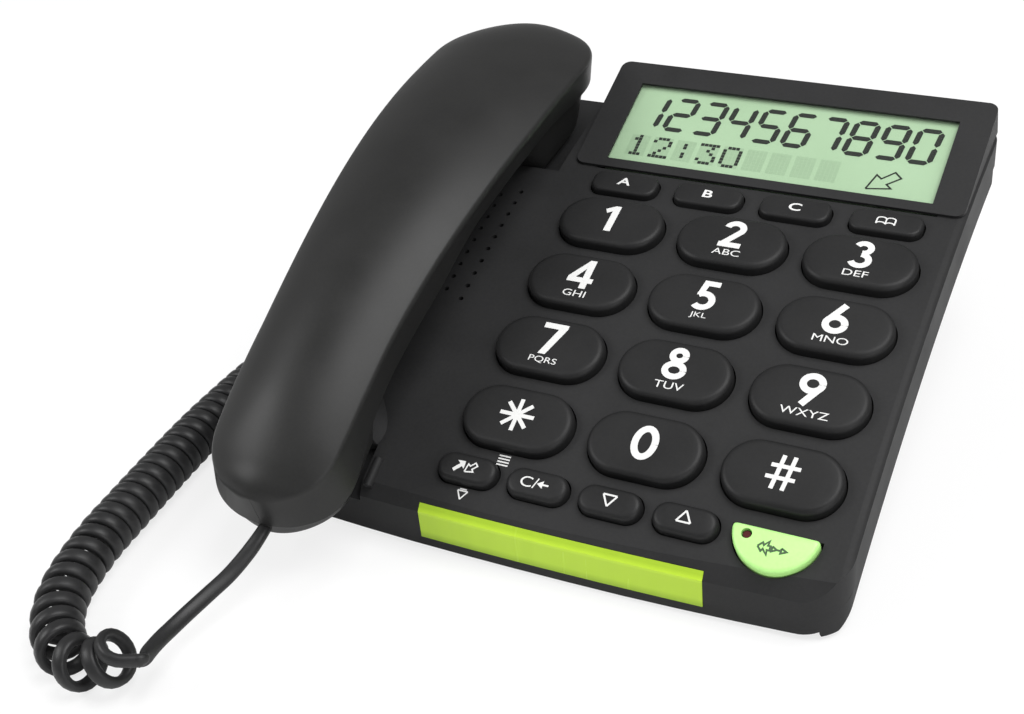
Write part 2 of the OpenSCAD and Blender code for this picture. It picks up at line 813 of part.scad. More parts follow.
module base_screws() {
    color(steel_grey) for (p = screw_places) {
        translate([p[0], p[1], ground_gap + 2]) cylinder(r = screw_head_r, h = screw_head_h, $fn = round_fn);
        translate([p[0], p[1], ground_gap + 2 + screw_head_h - slack])
            cylinder(r = screw_r, h = screw_len, $fn = round_fn);
    }
}

// Handset: long edge height, plan half width and underside, all along its own length t
function edge_h(t) = sqrt(pow(handset_bow_r, 2) - t * t) - handset_bow_r;
function side_w(t) = grip_half_w + (mouth_half_w - grip_half_w) * ease((-52 - t) / 32)
    + (ear_half_w - grip_half_w) * ease((t + 72) / 127);
function end_round(k, n) = pow(1 - pow(1 - max(0.012, min(1, k)), n), 1 / n);
function half_w(t, inset) = (side_w(t) - inset)
    * end_round((t - mouth_t - inset) / 18, 2.2)
    * end_round((ear_t - inset - t) / 26, 2.3);
function crown(t, inset) = handset_crown
    * end_round((t - mouth_t - inset) / 30, 2)
    * end_round((ear_t - inset - t) / 26, 2);
function parting_h(t) = edge_h(t) - handset_wall_h + notch_lift * ease((notch_t - t) / 6);
function under_h(t) = let (
        grip = parting_h(t) - grip_depth,
        mouth = mix(grip, mouth_bottom_h, ease((-62 - t) / 6)),
        ear = ear_bottom_h - (t - 50) * ear_bottom_slope
    ) mix(mouth, ear, ease((t - 38) / 12));

// Station places, closer together near both ends
function station_t(i, inset) = let (a = mouth_t + inset, b = ear_t - inset)
    (a + b) / 2 - (b - a) / 2 * cos(180 * i / handset_steps);

// Upper shell section, from the left parting line over the crown to the right one
upper_edge = [[0, 0], [0.25, 0.72], [0.9, 0.9], [2.4, 1.02]];
crown_steps = 8;
function wall_lean(t) = 2.2 * ease((-55 - t) / 35);
// The wall stands this much further in at the parting line than at its ridge
function wall_tuck(t) = 1.7 * ease((t + 90) / 25) + 2.2 * ease((t + 30) / 35) - 1.4 * ease((t - 48) / 18);
function upper_section(t, inset) = let (
        w = half_w(t, inset),
        soft = min(1, w / 9),
        p = parting_h(t),
        rise = handset_wall_h - inset,
        lean = wall_lean(t),
        narrow = [for (e = upper_edge)
            (e[0] + e[1] * lean + wall_tuck(t) * max(0, 1 - e[1] / upper_edge[1][1])) * soft],
        left = [for (i = [0:len(upper_edge) - 1]) [-(w - narrow[i]), t, p + upper_edge[i][1] * rise]],
        right = [for (i = [len(upper_edge) - 1:-1:0]) [w - narrow[i], t, p + upper_edge[i][1] * rise]],
        cw = w - (2.4 + 1.02 * lean) * soft,
        top = [for (i = [1:crown_steps - 1]) let (a = -1 + 2 * i / crown_steps)
            [cw * a, t, p + 1.02 * rise + crown(t, inset) * (1 - a * a)]]
    ) concat(left, top, right);

// Lower shell section, from the right parting line round the underside to the left one
lower_edge = [[0, 0], [0.1, 0.2], [0.15, 0.6], [0.22, 0.88], [0.36, 1]];
function lower_lean(t) = 0.8 * ease((t - 62) / 30) - 0.25 * ease((-84 - t) / 14);
function lower_section(t, inset) = let (
        wide = half_w(t, inset),
        w = wide - 0.3 - wall_tuck(t) * min(1, wide / 9),
        p = parting_h(t) - 0.05,
        d = p - under_h(t) - inset,
        right = [for (e = lower_edge) [w * (1 - e[0]), t - lower_lean(t) * e[1] * d, p - e[1] * d]],
        left = [for (i = [len(lower_edge) - 1:-1:0]) let (e = lower_edge[i])
            [-w * (1 - e[0]), t - lower_lean(t) * e[1] * d, p - e[1] * d]]
    ) concat(right, left);

function join(list) = [for (part = list) each part];

// Closed thin shell between an outer and an inner grid of the same size
module grid_shell(outer, inner) {
    n = len(outer);
    m = len(outer[0]);
    o = n * m;
    quad = function (a, b, c, d) [[a, b, c], [a, c, d]];
    at = function (i, j) i * m + j;
    skin = [for (i = [0:n - 2], j = [0:m - 2]) each quad(at(i, j), at(i + 1, j), at(i + 1, j + 1), at(i, j + 1))];
    lining = [for (i = [0:n - 2], j = [0:m - 2])
        each quad(o + at(i, j), o + at(i, j + 1), o + at(i + 1, j + 1), o + at(i + 1, j))];
    rims = [for (i = [0:n - 2])
        each concat(
            quad(at(i, 0), o + at(i, 0), o + at(i + 1, 0), at(i + 1, 0)),
            quad(at(i, m - 1), at(i + 1, m - 1), o + at(i + 1, m - 1), o + at(i, m - 1))
        )];
    caps = [for (j = [1:m - 2])
        each [
            [at(0, 0), at(0, j), at(0, j + 1)],
            [at(n - 1, 0), at(n - 1, j + 1), at(n - 1, j)],
            [o + at(0, 0), o + at(0, j + 1), o + at(0, j)],
            [o + at(n - 1, 0), o + at(n - 1, j), o + at(n - 1, j + 1)]
        ]];
    ends = concat(
        quad(at(0, 0), at(0, m - 1), o + at(0, m - 1), o + at(0, 0)),
        quad(at(n - 1, 0), o + at(n - 1, 0), o + at(n - 1, m - 1), at(n - 1, m - 1))
    );
    polyhedron(concat(join(outer), join(inner)), concat(skin, lining, rims, caps, ends));
}

module in_handset() {
    translate([handset_x, handset_y, handset_z]) rotate([handset_tilt, 0, 0]) children();
}

module handset_upper_shell() {
    color(shell_black) in_handset() difference() {
        union() {
            grid_shell(
                [for (i = [0:handset_steps]) upper_section(station_t(i, 0), 0)],
                [for (i = [0:handset_steps]) upper_section(station_t(i, handset_wall), handset_wall)]
            );
            for (t = handset_screw_t) let (foot = under_h(t) + handset_wall + 0.5) translate([0, t, foot])
                cylinder(r = handset_post_r, h = handset_post_top - foot, $fn = round_fn);
        }
        for (t = handset_screw_t) translate([0, t, under_h(t)])
            cylinder(r = handset_screw_r + 0.05, h = 12, $fn = 32);
    }
}

module handset_lower_shell() {
    color(shell_black) in_handset() difference() {
        grid_shell(
            [for (i = [0:handset_steps]) lower_section(station_t(i, 0), 0)],
            [for (i = [0:handset_steps]) lower_section(station_t(i, handset_wall), handset_wall)]
        );
        for (a = [0:60:300]) translate([7 * cos(a), receiver_t + 7 * sin(a), -40]) cylinder(d = 2.4, h = 8, $fn = 16);
        translate([0, receiver_t, -40]) cylinder(d = 2.4, h = 8, $fn = 16);
        for (x = [-5, 0, 5]) translate([x, microphone_t - 1, -36]) cylinder(d = 2, h = 8, $fn = 16);
        for (t = handset_screw_t) translate([0, t, under_h(t) - 1]) {
            cylinder(r = handset_screw_r + 0.3, h = 5, $fn = 32);
            cylinder(r = handset_head_r + 0.3, h = handset_head_h + 1.1, $fn = round_fn);
        }
        translate([0, mouth_t + 4, plug_h + 0.25]) cube([plug_w + 0.8, 17, 4.9], center = true);
    }
}

module earpiece_receiver() {
    color(steel_grey) in_handset() translate([0, receiver_t, -32.6]) {
        cylinder(r = 15, h = 3, $fn = round_fn);
        translate([0, 0, 3 - slack]) cylinder(r = 9, h = 4, $fn = round_fn);
    }
}

module microphone() {
    color(steel_grey) in_handset() translate([0, microphone_t, -29.6]) cylinder(r = 4.8, h = 5, $fn = round_fn);
}

module handset_weight() {
    color(steel_grey) in_handset() translate([0, weight_t, -10.8]) cube([24, weight_len, 6], center = true);
}

module handset_cord_jack() {
    color(rubber_grey) in_handset() translate([0, plug_t + 3, -23.4]) cube([11, 9, 6], center = true);
}

module handset_screws() {
    color(steel_grey) in_handset() for (t = handset_screw_t) translate([0, t, under_h(t) + 0.1]) {
        cylinder(r = handset_head_r, h = handset_head_h, $fn = round_fn);
        translate([0, 0, handset_head_h - slack]) cylinder(r = handset_screw_r, h = 9, $fn = 32);
    }
}

// Tube along a path: side holds a direction across the path at each point
module tube(path, side, r, sides) {
    n = len(path);
    along = [for (i = [0:n - 1]) unit(path[min(n - 1, i + 1)] - path[max(0, i - 1)])];
    rings = [for (i = [0:n - 1]) let (
            b = unit(cross(along[i], side[i])),
            a = cross(b, along[i])
        ) [for (k = [0:sides - 1]) path[i] + r * (cos(360 * k / sides) * a + sin(360 * k / sides) * b)]];
    faces = [for (i = [0:n - 2], k = [0:sides - 1]) let (
            k2 = (k + 1) % sides,
            p = i * sides
        ) each [[p + k, p + sides + k, p + sides + k2], [p + k, p + sides + k2, p + k2]]];
    start = [for (k = [1:sides - 2]) [0, k, k + 1]];
    end = [for (k = [1:sides - 2]) let (p = (n - 1) * sides) [p, p + k + 1, p + k]];
    polyhedron(join(rings), concat(faces, start, end));
}

// Smooth curve through hand-placed route points
function between(p, i, u) = let (
        a = p[max(0, i - 1)], b = p[i], c = p[min(len(p) - 1, i + 1)], d = p[min(len(p) - 1, i + 2)]
    ) 0.5 * ((2 * b) + (c - a) * u + (2 * a - 5 * b + 4 * c - d) * u * u + (3 * b - a - 3 * c + d) * u * u * u);
function smooth(p, per) = [for (i = [0:len(p) - 2], k = [0:per - 1]) between(p, i, k / per), p[len(p) - 1]];
function run_length(p, i = 0, sum = 0) = i >= len(p) - 1 ? sum : run_length(p, i + 1, sum + norm(p[i + 1] - p[i]));
function mileage(p) = [for (i = 0, s = 0; i < len(p); s = s + (i + 1 < len(p) ? norm(p[i + 1] - p[i]) : 0), i = i + 1) s];

// Centre line of the curls, looked up by distance along it
curl_axis = smooth(curl_route, 6);
curl_marks = mileage(curl_axis);
curl_len = curl_marks[len(curl_marks) - 1];
curl_axis_x = [for (i = [0:len(curl_marks) - 1]) [curl_marks[i], curl_axis[i][0]]];
curl_axis_y = [for (i = [0:len(curl_marks) - 1]) [curl_marks[i], curl_axis[i][1]]];
curl_axis_z = [for (i = [0:len(curl_marks) - 1]) [curl_marks[i], curl_axis[i][2]]];
function axis_at(s) = [lookup(s, curl_axis_x), lookup(s, curl_axis_y), lookup(s, curl_axis_z)];
function axis_dir(s) = unit(axis_at(min(curl_len, s + 2)) - axis_at(max(0, s - 2)));

// Distance along the centre line at which turn k stands
open_end = lead_in + open_turns * open_pitch;
half_open_end = open_end + half_open_turns * half_open_pitch;
loose_end = half_open_end + loose_turns * loose_pitch;
first_tight = open_turns + half_open_turns + loose_turns;
turns = first_tight + floor((curl_len - curl_end_run - loose_end) / curl_pitch);
curl_marks_k = [
    [0, lead_in], [open_turns, open_end], [open_turns + half_open_turns, half_open_end], [first_tight, loose_end],
    [turns, loose_end + (turns - first_tight) * curl_pitch]
];
curl_r = (curl_od - cord_d) / 2;
function curl_out(k) = let (
        dir = axis_dir(lookup(k, curl_marks_k)),
        across = unit(cross(dir, [0, 0, 1])),
        a = curl_start_angle - 360 * k
    ) cos(a) * across + sin(a) * cross(across, dir);
function curl_at(k) = axis_at(lookup(k, curl_marks_k)) + curl_r * ease(turns - k) * curl_out(k);
curl_steps = [for (i = [0:turns * curl_rings]) i / curl_rings];
curl_heading = unit(curl_at(0.005) - curl_at(0));
cord_join = curl_at(0) - straight_run * curl_heading;
curl_path = concat([cord_join], [for (k = curl_steps) curl_at(k)], [axis_at(curl_len)]);
curl_side = concat([curl_out(0)], [for (k = curl_steps) curl_out(k)], [curl_out(turns)]);
curl_gap = min([for (i = [1:len(curl_path) - curl_rings - 5], j = [curl_rings - 3:curl_rings + 3])
    norm(curl_path[i + j] - curl_path[i])]) - cord_d;
echo("curls", turns, "least gap of the curly cord to itself in mm", curl_gap);
echo("length of wire in the curls in mm", run_length(curl_path));
echo("where the straight lead meets the curls", cord_join, "heading", curl_heading);

module curly_cord() {
    color(key_black) tube(curl_path, curl_side, cord_d / 2, curl_sides);
}

module lead(route) {
    path = smooth(route, 2);
    tube(path, [for (p = path) [0, 0, 1]], cord_d / 2, lead_sides);
}

module handset_cord_lead() {
    end = cord_join - 0.08 * curl_heading;
    color(key_black) lead(concat(handset_lead_route, [end - straight_lead * curl_heading, end]));
}

module base_cord_lead() {
    color(key_black) lead(base_lead_route);
}

module handset_cord_plug() {
    color(clear_grey) in_handset() translate([0, plug_t, plug_h]) cube([plug_w, 9, plug_thick], center = true);
}

module base_cord_plug() {
    color(clear_grey) translate([lower_inset - base_w / 2 - 2.6, jack_y, jack_z]) cube([14, 7.6, 6], center = true);
}

base_top_shell();
base_bottom_shell();
display_bezel();
lcd_window();
lcd_panel();
main_circuit_board();
board_screws();
keypad_membrane();
base_loudspeaker();
ring_indicator_lens();
ring_indicator_leds();
speaker_led();
hook_plunger();
hook_switch();
hook_spring();
line_jack();
base_cord_jack();
ringer_switch();
battery_cover();
battery_cells();
battery_contacts();
rubber_feet();
base_screws();
digit_key(0, 0);  // key_1
digit_key(1, 0);  // key_2
digit_key(2, 0);  // key_3
digit_key(0, 1);  // key_4
digit_key(1, 1);  // key_5
digit_key(2, 1);  // key_6
digit_key(0, 2);  // key_7
digit_key(1, 2);  // key_8
digit_key(2, 2);  // key_9
digit_key(0, 3);  // key_star
digit_key(1, 3);  // key_0
digit_key(2, 3);  // key_hash
memory_key(0);  // memory_key_a
memory_key(1);  // memory_key_b
memory_key(2);  // memory_key_c
memory_key(3);  // phonebook_key
function_key(0);  // redial_key
function_key(1);  // clear_key
function_key(2);  // down_key
function_key(3);  // up_key
speaker_key();
handset_upper_shell();
handset_lower_shell();
earpiece_receiver();
microphone();
handset_weight();
handset_cord_jack();
handset_screws();
handset_cord_plug();
handset_cord_lead();
curly_cord();
base_cord_lead();
base_cord_plug();
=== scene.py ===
# %% [markdown]
# A big-button corded desk telephone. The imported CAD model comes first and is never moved. Every
# visible surface then gets its finish, and the pieces whose roundings matter, such as the handset,
# the key caps and the cord, are made again as smooth surfaces in the same places.

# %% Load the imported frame
import math

import bpy
import numpy as np
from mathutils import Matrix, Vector


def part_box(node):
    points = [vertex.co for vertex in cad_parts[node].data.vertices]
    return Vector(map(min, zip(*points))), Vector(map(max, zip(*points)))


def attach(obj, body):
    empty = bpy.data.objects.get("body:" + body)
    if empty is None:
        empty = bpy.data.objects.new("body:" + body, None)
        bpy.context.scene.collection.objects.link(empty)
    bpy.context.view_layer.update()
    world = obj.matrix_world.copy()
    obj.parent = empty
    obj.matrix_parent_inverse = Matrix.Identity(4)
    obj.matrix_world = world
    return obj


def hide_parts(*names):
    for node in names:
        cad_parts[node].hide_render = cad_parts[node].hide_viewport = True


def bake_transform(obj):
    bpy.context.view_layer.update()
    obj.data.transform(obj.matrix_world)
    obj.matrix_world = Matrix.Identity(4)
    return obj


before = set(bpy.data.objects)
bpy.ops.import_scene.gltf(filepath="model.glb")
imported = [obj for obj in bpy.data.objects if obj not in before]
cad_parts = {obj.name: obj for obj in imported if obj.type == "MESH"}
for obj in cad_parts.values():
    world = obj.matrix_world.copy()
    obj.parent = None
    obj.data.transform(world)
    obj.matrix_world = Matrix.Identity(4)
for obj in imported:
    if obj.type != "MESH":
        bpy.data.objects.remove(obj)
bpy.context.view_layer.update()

MM = 0.001
MM_IN_M = 1000

# %% [markdown]
# The camera stands to the right of the telephone, about half a metre away, and looks down on the
# keypad. Its place was worked out once from the keypad's regular grid.

# %% Camera
CAMERA_PLACE = (0.15717, -0.34190, 0.28788)
CAMERA_TURN = (55.052, 5.005, 25.503)
LENS_MM = 55.73

lens = bpy.data.cameras.new("camera")
lens.lens = LENS_MM
lens.sensor_width = 36
lens.clip_start = 0.02
lens.clip_end = 20
camera = bpy.data.objects.new("camera", lens)
camera.location = CAMERA_PLACE
camera.rotation_euler = [math.radians(turn) for turn in CAMERA_TURN]
bpy.context.scene.collection.objects.link(camera)
bpy.context.scene.camera = camera

# %% [markdown]
# Nearly every piece is a grid of points that a formula fills, so two helpers do all the mesh work:
# one turns grids into faces, and the other puts points and faces into an object. Edges sharper
# than a limit stay crisp, and the rest is shaded smooth.

# %% Meshes from grids of points
CRISP_ANGLE = math.radians(38)


def grid_faces(rows, cols, start=0, wrap=False):
    """Four-sided faces between neighbouring rows of a grid whose points are numbered row by row."""
    r, c = np.meshgrid(np.arange(rows - 1), np.arange(cols if wrap else cols - 1), indexing="ij")
    right = (c + 1) % cols
    corners = [r * cols + c, r * cols + right, (r + 1) * cols + right, (r + 1) * cols + c]
    return (start + np.stack(corners, axis=-1)).reshape(-1, 4).tolist()


def add_mesh(name, points, faces, finish):
    """Makes an object from points in millimetres and faces that name their points by number."""
    mesh = bpy.data.meshes.new(name)
    mesh.from_pydata((np.asarray(points, float).reshape(-1, 3) * MM).tolist(), [], faces)
    mesh.update()
    mesh.polygons.foreach_set("use_smooth", [True] * len(mesh.polygons))
    mesh.set_sharp_from_angle(angle=CRISP_ANGLE)
    mesh.materials.append(finish)
    piece = bpy.data.objects.new(name, mesh)
    bpy.context.scene.collection.objects.link(piece)
    return piece


def rings_solid(name, rings, finish):
    """Closed solid from a stack of closed rings (rings, points, 3), with a flat face on each end."""
    count, around = rings.shape[:2]
    faces = grid_faces(count, around, wrap=True)
    faces.append(list(range(around))[::-1])
    faces.append([(count - 1) * around + i for i in range(around)])
    return add_mesh(name, rings, faces, finish)


# %% [markdown]
# Shader nodes are wired with plain sums. A small class holds a socket of the node tree, and its
# operators add Math nodes, so a formula in the code reads like the formula on paper.

# %% Shader maths
class Wire:
    """A socket in a material's node tree. + - * / add Math nodes, and node() adds any other."""

    def __init__(self, tree, socket=None):
        self.tree = tree
        self.socket = socket

    def node(self, kind, inputs=(), out=0, **settings):
        """Adds a node, with its settings first, then its inputs, and gives one of its outputs."""
        new = self.tree.nodes.new(kind)
        for key, value in settings.items():
            setattr(new, key, value)
        for key, value in dict(inputs).items():
            if isinstance(value, Wire):
                self.tree.links.new(value.socket, new.inputs[key])
            else:
                new.inputs[key].default_value = value
        return Wire(self.tree, new.outputs[out])

    def math(self, operation, other, flipped=False):
        pair = {0: other, 1: self} if flipped else {0: self, 1: other}
        return self.node("ShaderNodeMath", pair, operation=operation)

    def __add__(self, other):
        return self.math("ADD", other)

    __radd__ = __add__

    def __sub__(self, other):
        return self.math("SUBTRACT", other)

    def __rsub__(self, other):
        return self.math("SUBTRACT", other, True)

    def __mul__(self, other):
        return self.math("MULTIPLY", other)

    __rmul__ = __mul__

    def place(self):
        """The point on the object, in metres."""
        return self.node("ShaderNodeTexCoord", out="Object")

    def noise(self, size_mm, detail=2.0):
        """Soft random spots of about that size, from 0 to 1."""
        inputs = {"Vector": self.place(), "Scale": MM_IN_M / size_mm, "Detail": detail}
        return self.node("ShaderNodeTexNoise", inputs)

    def ramp(self, value, low, high, to_low=0.0, to_high=1.0):
        """Maps low..high to to_low..to_high, held at both ends."""
        ends = {"Value": value, "From Min": low, "From Max": high, "To Min": to_low, "To Max": to_high}
        return self.node("ShaderNodeMapRange", ends)

    def blend_colour(self, amount, low, high):
        """Colour low where amount is 0 and high where it is 1."""
        return self.node(
            "ShaderNodeMix", {"Factor": amount, "A": low, "B": high}, out="Result", data_type="RGBA"
        )


def new_finish(name, **fixed):
    """A material, its Principled shader's sockets by name, and a Wire into its tree."""
    material = bpy.data.materials.new(name)
    material.use_nodes = True
    shader = material.node_tree.nodes["Principled BSDF"]
    for key, value in fixed.items():
        shader.inputs[key.replace("_", " ")].default_value = value
    return material, shader, Wire(material.node_tree)


def feed(wire, shader, **inputs):
    """Links wires to the Principled shader's sockets."""
    for key, value in inputs.items():
        wire.tree.links.new(value.socket, shader.inputs[key.replace("_", " ")])


# %% [markdown]
# The whole telephone is black moulded plastic, but no two areas look alike: the housing has a fine
# spark-eroded grain, the handset is a little smoother, and the key caps are smoother again. One
# function makes them all: two sizes of noise shift colour and gloss, and a third is the grain.

# %% Plastics
def shade(colour, factor):
    """The colour times a factor, at most 1, with full alpha."""
    return tuple(min(1.0, c * factor) for c in colour) + (1.0,)


def moulded(name, colour, gloss_low, gloss_high, grain_mm, grain_depth, spread=0.12, shine=0.5):
    """Moulded plastic: roughness drifts between two values and a fine grain breaks up its shine."""
    material, shader, w = new_finish(name, Specular_IOR_Level=shine)
    cloud = w.noise(18, 3)
    speck = w.noise(0.9, 1)
    mix = w.ramp(cloud * 0.6 + speck * 0.4, 0.35, 0.65)
    grain = w.noise(grain_mm, 2)
    bump = w.node("ShaderNodeBump", {"Strength": 0.5, "Distance": grain_depth * MM, "Height": grain})
    feed(
        w, shader,
        Base_Color=w.blend_colour(mix, shade(colour, 1 - spread), shade(colour, 1 + spread)),
        Roughness=w.ramp(cloud, 0.3, 0.7, gloss_low, gloss_high),
        Normal=bump,
    )
    return material


HOUSING = moulded("housing_black", (0.0185, 0.0185, 0.0190), 0.54, 0.62, 0.55, 0.020, shine=0.20)
HANDSET = moulded("handset_black", (0.0155, 0.0155, 0.0152), 0.40, 0.46, 0.45, 0.010, shine=0.26)
KEY_CAP = moulded("key_cap_black", (0.0140, 0.0140, 0.0143), 0.42, 0.50, 0.40, 0.006, shine=0.20)
GREEN_CAP = moulded("key_cap_green", (0.46, 0.86, 0.26), 0.36, 0.44, 0.40, 0.005, 0.05)
SOCKET_BLACK = moulded("socket_black", (0.012, 0.012, 0.012), 0.45, 0.6, 0.6, 0.01)
RUBBER = moulded("rubber_grey", (0.035, 0.035, 0.037), 0.75, 0.85, 0.7, 0.03)
CORD_JACKET = moulded("cord_jacket", (0.0165, 0.0165, 0.0170), 0.38, 0.48, 0.8, 0.012, shine=0.28)
PRINT = moulded("white_print", (0.68, 0.68, 0.67), 0.45, 0.55, 0.5, 0.004, 0.03, shine=0.3)
ICON_GREY = moulded("icon_print", (0.045, 0.095, 0.035), 0.45, 0.55, 0.5, 0.004, 0.05)

# %% [markdown]
# The metal parts, the board and the battery jackets are out of sight in normal use, but they show
# when a cover is off, so they get simple finishes of their own.

# %% Metal, board and lamps
def metal(name, colour, low, high):
    """Bare metal: long thin noise makes its brushed gloss."""
    material, shader, w = new_finish(name, Metallic=1.0)
    stretch = w.node("ShaderNodeMapping", {"Vector": w.place(), "Scale": (1, 12, 1)})
    lines = w.node("ShaderNodeTexNoise", {"Vector": stretch, "Scale": 900, "Detail": 2})
    feed(
        w, shader,
        Base_Color=w.blend_colour(lines, shade(colour, 0.9), shade(colour, 1.06)),
        Roughness=w.ramp(lines, 0.3, 0.7, low, high),
    )
    return material


STEEL = metal("plain_steel", (0.60, 0.60, 0.62), 0.26, 0.40)
CELL_JACKET = metal("cell_jacket", (0.62, 0.48, 0.20), 0.25, 0.38)
BOARD = moulded("circuit_board", (0.03, 0.16, 0.06), 0.35, 0.5, 1.2, 0.02, 0.2)
LAMP = moulded("lamp_red", (0.075, 0.008, 0.009), 0.2, 0.3, 0.5, 0.002)


def clear_finish(name, colour, alpha, low, high):
    """Clear plastic: mostly see-through, with faint haze in its gloss."""
    material, shader, w = new_finish(name, Alpha=alpha)
    haze = w.noise(6, 3)
    feed(
        w, shader,
        Base_Color=w.blend_colour(haze, shade(colour, 0.95), shade(colour, 1.03)),
        Roughness=w.ramp(haze, 0.3, 0.7, low, high),
    )
    return material


PANE = clear_finish("window_pane", (0.30, 0.34, 0.30), 0.03, 0.05, 0.10)
CLEAR_PLUG = clear_finish("clear_plug", (0.75, 0.78, 0.80), 0.55, 0.10, 0.16)


# %% [markdown]
# The ringer's light strip is one translucent yellow-green moulding. The light that gathers inside it
# is painted into its colour by height: a painted brighter band, a painted highlight line under its
# upper edge and painted shade on the bevel, and the strip is given a faint painted emission.

# %% Light strip and display colours
# Shaded and lit tones of the strip; the painted light and shade blend between them.
STRIP_SHADED, STRIP_LIT = (0.24, 0.38, 0.022, 1), (0.42, 0.61, 0.040, 1)
STREAK_SHARE = 0.2
# Strength of the strip's painted emission; no lamp is inside it.
STRIP_PAINTED_GLOW = 0.12


def strip_finish():
    """Colour by share of the height, with painted light and shade: brighter above the lower fifth,
    a painted highlight at three quarters and painted shade on the bevel, with faint upright
    streaks of noise."""
    low, high = (corner[2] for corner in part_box("ring_indicator_lens"))
    material, shader, w = new_finish("light_strip", Specular_IOR_Level=0.3)
    z = w.node("ShaderNodeSeparateXYZ", {"Vector": w.place()}, out="Z")
    height = w.ramp(z, low, high)
    stretched = w.node("ShaderNodeMapping", {"Vector": w.place(), "Scale": (1, 0.2, 0.1)})
    streaks = w.node("ShaderNodeTexNoise", {"Vector": stretched, "Scale": 260})
    # Painted light and shade by height: a brighter band above the lower fifth, a painted highlight line at
    # three quarters, and painted shade on the bevel.
    rise = w.ramp(height, 0.04, 0.22) * 0.8
    painted_highlight_line = w.ramp(height, 0.72, 0.78) * 0.35
    bevel = w.ramp(height, 0.82, 0.92) * 0.75
    painted_light_and_streaks = (rise + painted_highlight_line - bevel) * (1 - STREAK_SHARE) + streaks * STREAK_SHARE
    colour = w.blend_colour(painted_light_and_streaks, STRIP_SHADED, STRIP_LIT)
    gloss = w.ramp(streaks, 0.3, 0.7, 0.16, 0.28)
    # The strip's colour is also emitted faintly: painted light, as no lamp is inside it.
    feed(w, shader, Base_Color=colour, Emission_Color=colour, Roughness=gloss)
    shader.inputs["Emission Strength"].default_value = STRIP_PAINTED_GLOW
    return material


def display_finish():
    """Pale green reflective display with soft clouds and a very fine grain."""
    material, shader, w = new_finish("display_green")
    cloud = w.noise(30, 2)
    fine = w.noise(0.5, 1)
    mix = w.ramp(cloud * 0.7 + fine * 0.3, 0.35, 0.65)
    feed(
        w, shader,
        Base_Color=w.blend_colour(mix, (0.320, 0.470, 0.290, 1), (0.345, 0.500, 0.315, 1)),
        Roughness=w.ramp(fine, 0.3, 0.7, 0.45, 0.6),
    )
    return material


STRIP = strip_finish()
DISPLAY = display_finish()
SEGMENT = moulded("display_segment", (0.006, 0.008, 0.006), 0.6, 0.7, 0.5, 0.002, shine=0.2)
FAINT_DOT = moulded("display_faint_dot", (0.285, 0.420, 0.260), 0.5, 0.6, 0.5, 0.002, 0.02)

# %% [markdown]
# CAD nodes whose shape is already right keep their solids and only take a finish.

# %% Finishes for the CAD nodes
NODE_FINISH = {
    HOUSING: ["base_top_shell", "base_bottom_shell", "display_bezel", "battery_cover"],
    SOCKET_BLACK: [
        "line_jack", "base_cord_jack", "handset_cord_jack", "hook_plunger", "ringer_switch",
        "base_loudspeaker",
    ],
    RUBBER: ["rubber_feet", "keypad_membrane"],
    STEEL: [
        "board_screws", "base_screws", "handset_screws", "hook_spring", "hook_switch",
        "battery_contacts", "handset_weight", "earpiece_receiver", "microphone",
    ],
    BOARD: ["main_circuit_board", "ring_indicator_leds"],
    CELL_JACKET: ["battery_cells"],
    STRIP: ["ring_indicator_lens"],
    LAMP: ["speaker_led"],
    DISPLAY: ["lcd_panel"],
    CLEAR_PLUG: ["handset_cord_plug", "base_cord_plug"],
}
for finish, nodes in NODE_FINISH.items():
    for node in nodes:
        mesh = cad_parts[node].data
        mesh.materials.clear()
        mesh.materials.append(finish)
print("finished CAD nodes:", sum(len(nodes) for nodes in NODE_FINISH.values()))

# %% [markdown]
# The cord is one flat jacket over thin wires, a little wider than it is thick. It leaves the handset
# as a short straight lead, runs as a spring of tight curls, and ends in another short lead at the
# base. The lead at the handset stretches when the handset is lifted, so it is a piece of its own,
# attached to neither body. All routes pass through the points that the CAD source uses.

# %% Cord routes
JACKET_W, JACKET_T = 4.15, 2.7
CURL_OD = 14.2
START_ANGLE = 184
LEAD_IN, END_RUN = 2, 7
OPEN_RUNS = ((3, 8.0), (4, 5.8), (4, 5.2))
TIGHT_PITCH = 4.45
STRAIGHT_RUN, STRAIGHT_LEAD = 3.2, 1.0
HANDSET_LEAD = [
    (-60.3, -91.4, 17.9), (-60.3, -96.3, 16.7), (-61.3, -101.5, 14.6), (-63.2, -108, 12.2),
    (-65.4, -115, 10.8), (-67.1, -122, 10), (-67.8, -128, 10), (-67.8, -133, 10.6),
    (-67.2, -137.6, 11.4), (-66.4, -141, 12),
]
CURL_ROUTE = [
    (-72.4, -139.4, 15.6), (-73.6, -140.1, 12.2), (-76.4, -141.8, 9.1), (-81.2, -144, 7.5),
    (-87.4, -144.4, 7.3), (-95, -140.2, 7.3), (-101.4, -132.8, 7.3), (-106.3, -122, 7.3),
    (-109.4, -106, 7.3), (-110.3, -91, 7.3), (-111, -73, 7.3), (-111.3, -56, 7.3),
    (-110.8, -42, 7.3), (-109.5, -26, 7.3), (-106.5, -10, 7.3), (-102.5, 1, 7.3),
]
BASE_LEAD = [
    (-86.6, 12, 8.5), (-91, 12, 8.5), (-94.5, 11.6, 8.3), (-97.5, 10, 8), (-99.7, 7.4, 7.7),
    (-101.2, 4.4, 7.4), (-102.5, 1, 7.3),
]


